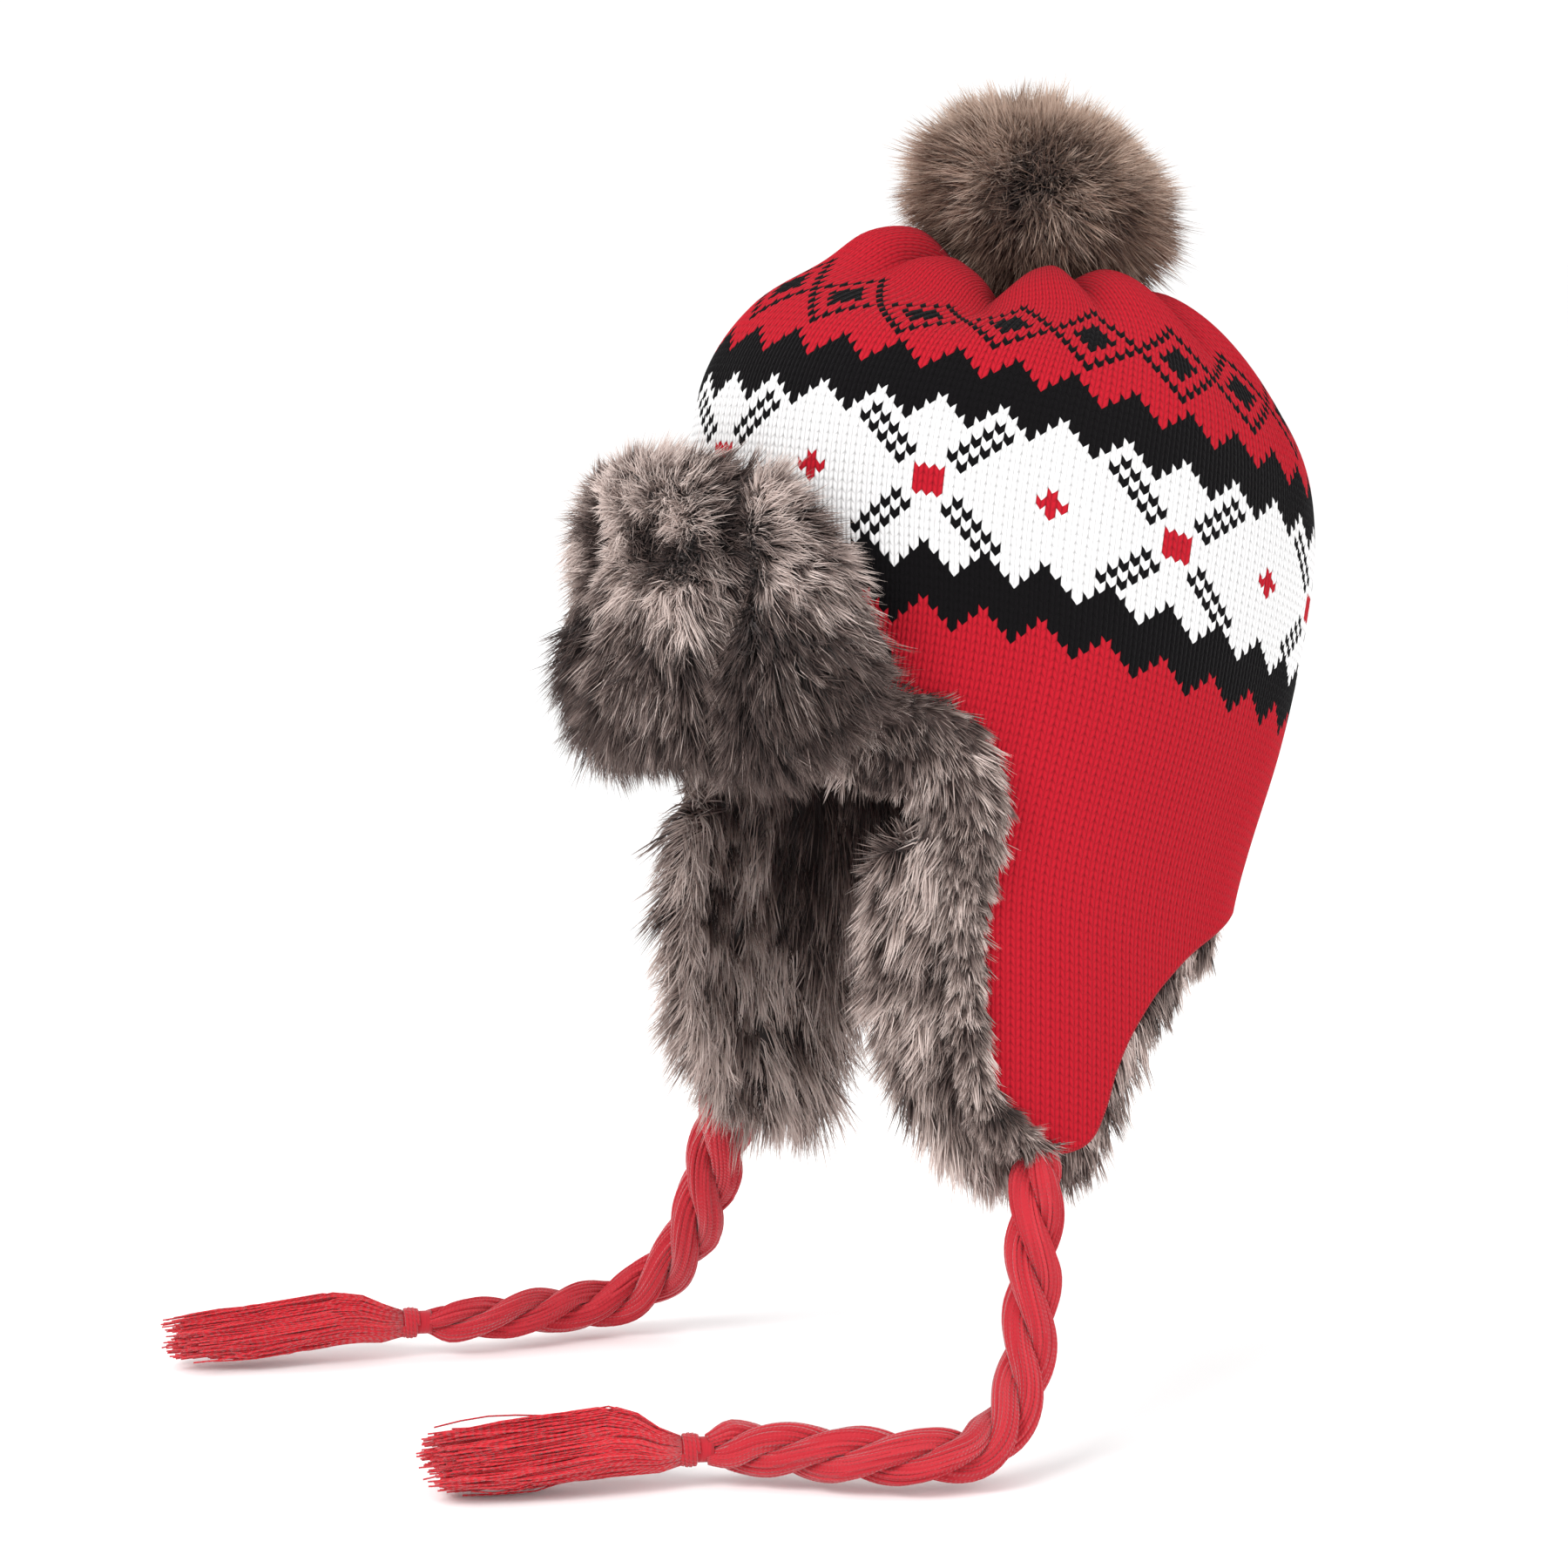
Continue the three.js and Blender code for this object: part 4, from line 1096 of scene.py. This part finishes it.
def add_lining():
    """The lining's hair and skin, with the fur that rolls over the knit's front edges."""
    rng = np.random.default_rng(12)
    soup, skin = Soup(), Soup()
    columns, rows = LINING_GRID
    share, at = np.linspace(0, 1, columns), np.linspace(0, len(LINING_ROWS) - 1, rows)
    grid_share, grid_at = np.meshgrid(share, at)
    points = lining_point(grid_share, grid_at)
    middles = (share[1:] + share[:-1]) / 2
    fur = rim_of(middles)[2]
    seen = np.where(fur < 4, 0.2, 1.0) * np.where(middles < 0.5, 1.35, 1.0)
    level = (at[1:] + at[:-1]) / 2
    weight = seen * ((1 - 0.55 * smooth(level, 4.5, 7)) * np.where(level < 1.1, 1.7, 1))[:, None]
    spot, normal, _, down, i, j = scatter(rng, points, LINING_HAIRS, weight)
    normal = -normal
    where = np.interp(i, np.arange(rows), at)
    here = np.interp(j, np.arange(columns), share)
    number = rim_number(here)
    pile = rim_of(here)[3]
    near = here < 0.5
    rear = smooth(number, np.where(near, 9, 7.5), np.where(near, 11, 9.5))
    outward = np.where((where < 1.5)[:, None], down, -down)
    rim = np.exp(-(((where - 1.5) / 0.6) ** 2))[:, None]
    flow = on_surface((0.35 + 0.25 * rim) * outward + 0.85 * DOWN, normal)
    tuft = np.where(near, 1, -0.4) * smooth(number, 6.5, 7.5) * (1 - smooth(number, 8.5, 9.5))
    flow = flow + tuft[:, None] * np.array([0, 0.45, -0.2])
    size = np.clip(pile / 22, 0.5, 1.05) * np.where(near, 1 - 0.2 * rear, 1.2 + 0.4 * rear)
    depth = np.where(where < 1, 2.5 + 2 * where, 5.0) * size + 1.2 * lumps(spot, 22, 31)
    ways = unit((0.8 + 0.3 * rim) * normal + 0.75 * flow + 0.17 * rng.normal(size=normal.shape))
    bends = 0.4 * flow - 0.36 * (1 - rim) * normal + 0.08 * rng.normal(size=normal.shape)
    long = rng.uniform(11, 16, LINING_HAIRS) * size
    # Painted shade: hairs deeper inside the hat get a darker tone.
    deep = smooth(where, 4, 7)
    tone = np.where(near, 0.66, 0.74) - 0.66 * deep + 0.27 * lumps(spot, 19, 32)
    tone += 0.12 * rear * near + rng.normal(0, 0.06, LINING_HAIRS)
    wide = rng.uniform(0.34, 0.56, LINING_HAIRS)
    roots = spot - depth[:, None] * normal
    add_hairs(soup, rng, roots, ways, bends, long, wide, tone, LINING_LOCKS, 0.6, 0.12)
    sink = 5.0 * smooth(grid_at, 0.2, 1.4) * np.clip(rim_of(grid_share)[3] / 24, 0.3, 1)
    sunk = (points + sink[..., None] * grid_normals(points))[::2, ::2]
    colour = uv_grid(*sunk.shape[:2], *SKIN_TONES)
    colour[..., 1] = (0.5 - 0.48 * smooth(grid_at, 1, 4))[::2, ::2]
    add_grid(skin, sunk, colour)
    soup.mesh("lining_fur", FUR, slot="fur", replaces=["fur_lining"])
    edge = Soup()
    for mirrored in (False, True):
        add_roll(edge, skin, rng, mirrored)
    edge.mesh("edge_fur", FUR, slot="fur")
    skin.mesh("lining_skin", FUR, slot="fur")


def add_roll(soup, skin, rng, mirrored):
    """The fur that rolls over the knit's front edge on one side."""
    first, last = (share_of_number(n) for n in (ROLL[0, 0], ROLL[-1, 0]))
    columns, rows = ROLL_GRID
    share, turn = np.linspace(first, last, columns), np.linspace(0, np.pi, rows)
    share = 1 - share if mirrored else share
    grid_share, grid_turn = np.meshgrid(share, turn)
    points = roll_point(grid_share, grid_turn)
    middles = rim_number((share[1:] + share[:-1]) / 2)
    weight = np.broadcast_to(1 + 2.5 * smooth(middles, 3, 4.5), (rows - 1, columns - 1))
    spot, normal, _, _, i, j = scatter(rng, points, ROLL_HAIRS, weight)
    normal = unit(normal) * (-1 if mirrored else 1)
    outside = place(np.array(0.0), np.array(0.0), np.array(-20.0))
    normal *= np.sign((normal * (spot - outside) * np.array([1, 1, 0])).sum(-1, keepdims=True))
    number = rim_number(np.interp(j, np.arange(columns), share))
    back = np.array([0.0, 1.0, 0.0])
    over = np.cos(np.interp(i, np.arange(rows), turn))[:, None]
    flow = on_surface((0.1 - 0.4 * over) * back + 0.75 * DOWN, normal)
    ways = unit(0.7 * normal + 0.8 * flow + 0.2 * rng.normal(size=normal.shape))
    bends = 0.35 * flow - 0.2 * normal + 0.1 * rng.normal(size=normal.shape)
    full = smooth(np.interp(number, ROLL[:, 0], ROLL[:, 1]), 6, 20)
    long = rng.uniform(8, 12, ROLL_HAIRS) * (0.8 + 0.2 * full)
    tone = 0.48 + 0.27 * lumps(spot, 17, 41) + rng.normal(0, 0.07, ROLL_HAIRS)
    wide = rng.uniform(0.34, 0.54, ROLL_HAIRS)
    roots = spot - (1 + 1.5 * full)[:, None] * normal
    add_hairs(soup, rng, roots, ways, bends, long, wide, tone, ROLL_LOCKS, 0.65, 0.14)
    half = points[:, ::2]
    add_grid(skin, half, uv_grid(*half.shape[:2], *SKIN_TONES, *SKIN_MIDDLE), flip=mirrored)


def add_pompom():
    """Hair from the pompom's core out to its ball."""
    rng = np.random.default_rng(13)
    columns, rows = POMPOM_GRID
    turn, fall = np.linspace(0, 2 * np.pi, columns), np.linspace(0.02, np.pi - 0.02, rows)
    grid_turn, grid_fall = np.meshgrid(turn, fall)
    inner = pompom_point(grid_turn, grid_fall, 0.6)
    spot, _, _, _, i, j = scatter(rng, inner, POMPOM_HAIRS)
    outer = pompom_point(np.interp(j, np.arange(columns), turn), np.interp(i, np.arange(rows), fall))
    reach = np.linalg.norm(outer - spot, axis=-1)
    ways = unit(unit(outer - spot) + 0.2 * rng.normal(size=spot.shape))
    bends = 0.12 * rng.normal(size=spot.shape) + 0.12 * DOWN
    long = (reach + 4.5) * rng.uniform(0.84, 1.1, POMPOM_HAIRS)
    high = (spot[:, 2] - inner[..., 2].min()) / np.ptp(inner[..., 2])
    long += 4 * smooth(0.45 - high, 0, 0.3)
    tone = 0.25 + 0.5 * smooth(high, 0.1, 0.9) + 0.28 * lumps(spot, 16, 51)
    tone = tone + rng.normal(0, 0.06, POMPOM_HAIRS)
    wide = rng.uniform(0.34, 0.54, POMPOM_HAIRS)
    soup = Soup()
    add_hairs(soup, rng, spot, ways, bends, long, wide, tone, POMPOM_LOCKS, 0.55, 0.14)
    soup.mesh("pompom_hair", POMPOM_FUR, slot="pompom_fur", replaces=["pompom"])
    skin = Soup()
    core = pompom_point(grid_turn, grid_fall, 0.62)[::2, ::2]
    add_grid(skin, core, uv_grid(*core.shape[:2], *SKIN_TONES, *SKIN_DARK), flip=True)
    skin.mesh("pompom_skin", POMPOM_FUR, slot="pompom_fur")


add_brim()
add_lining()
add_pompom()


# Stage and light
def add_stage():
    bpy.ops.mesh.primitive_plane_add(size=40, location=(0, 0, FLOOR * MM))
    floor = bpy.context.object
    floor.name = "floor"
    material, _, shader = new_material("floor", 0.9, 0.0, 0.1)
    shader.inputs["Base Color"].default_value = (0.97, 0.97, 0.97, 1)
    floor.data.materials.append(material)
    world = bpy.data.worlds.new("world")
    world.use_nodes = True
    world.node_tree.nodes["Background"].inputs[0].default_value = (1, 1, 1, 1)
    world.node_tree.nodes["Background"].inputs[1].default_value = 1.06
    bpy.context.scene.world = world


def add_light(name, place_at, aim, size, power):
    data = bpy.data.lights.new(name, "AREA")
    data.size = size
    data.energy = power
    lamp = bpy.data.objects.new(name, data)
    lamp.location = place_at
    lamp.rotation_euler = (Vector(place_at) - Vector(aim)).to_track_quat("Z", "Y").to_euler()
    bpy.context.scene.collection.objects.link(lamp)


add_stage()
add_light("key", (0.6, -2.0, 1.7), (0, 0, 0), 1.2, 42)
add_light("fill", (2.2, 0.2, 0.9), (0, 0, 0), 1.4, 14)
bpy.context.scene.view_settings.view_transform = "Standard"
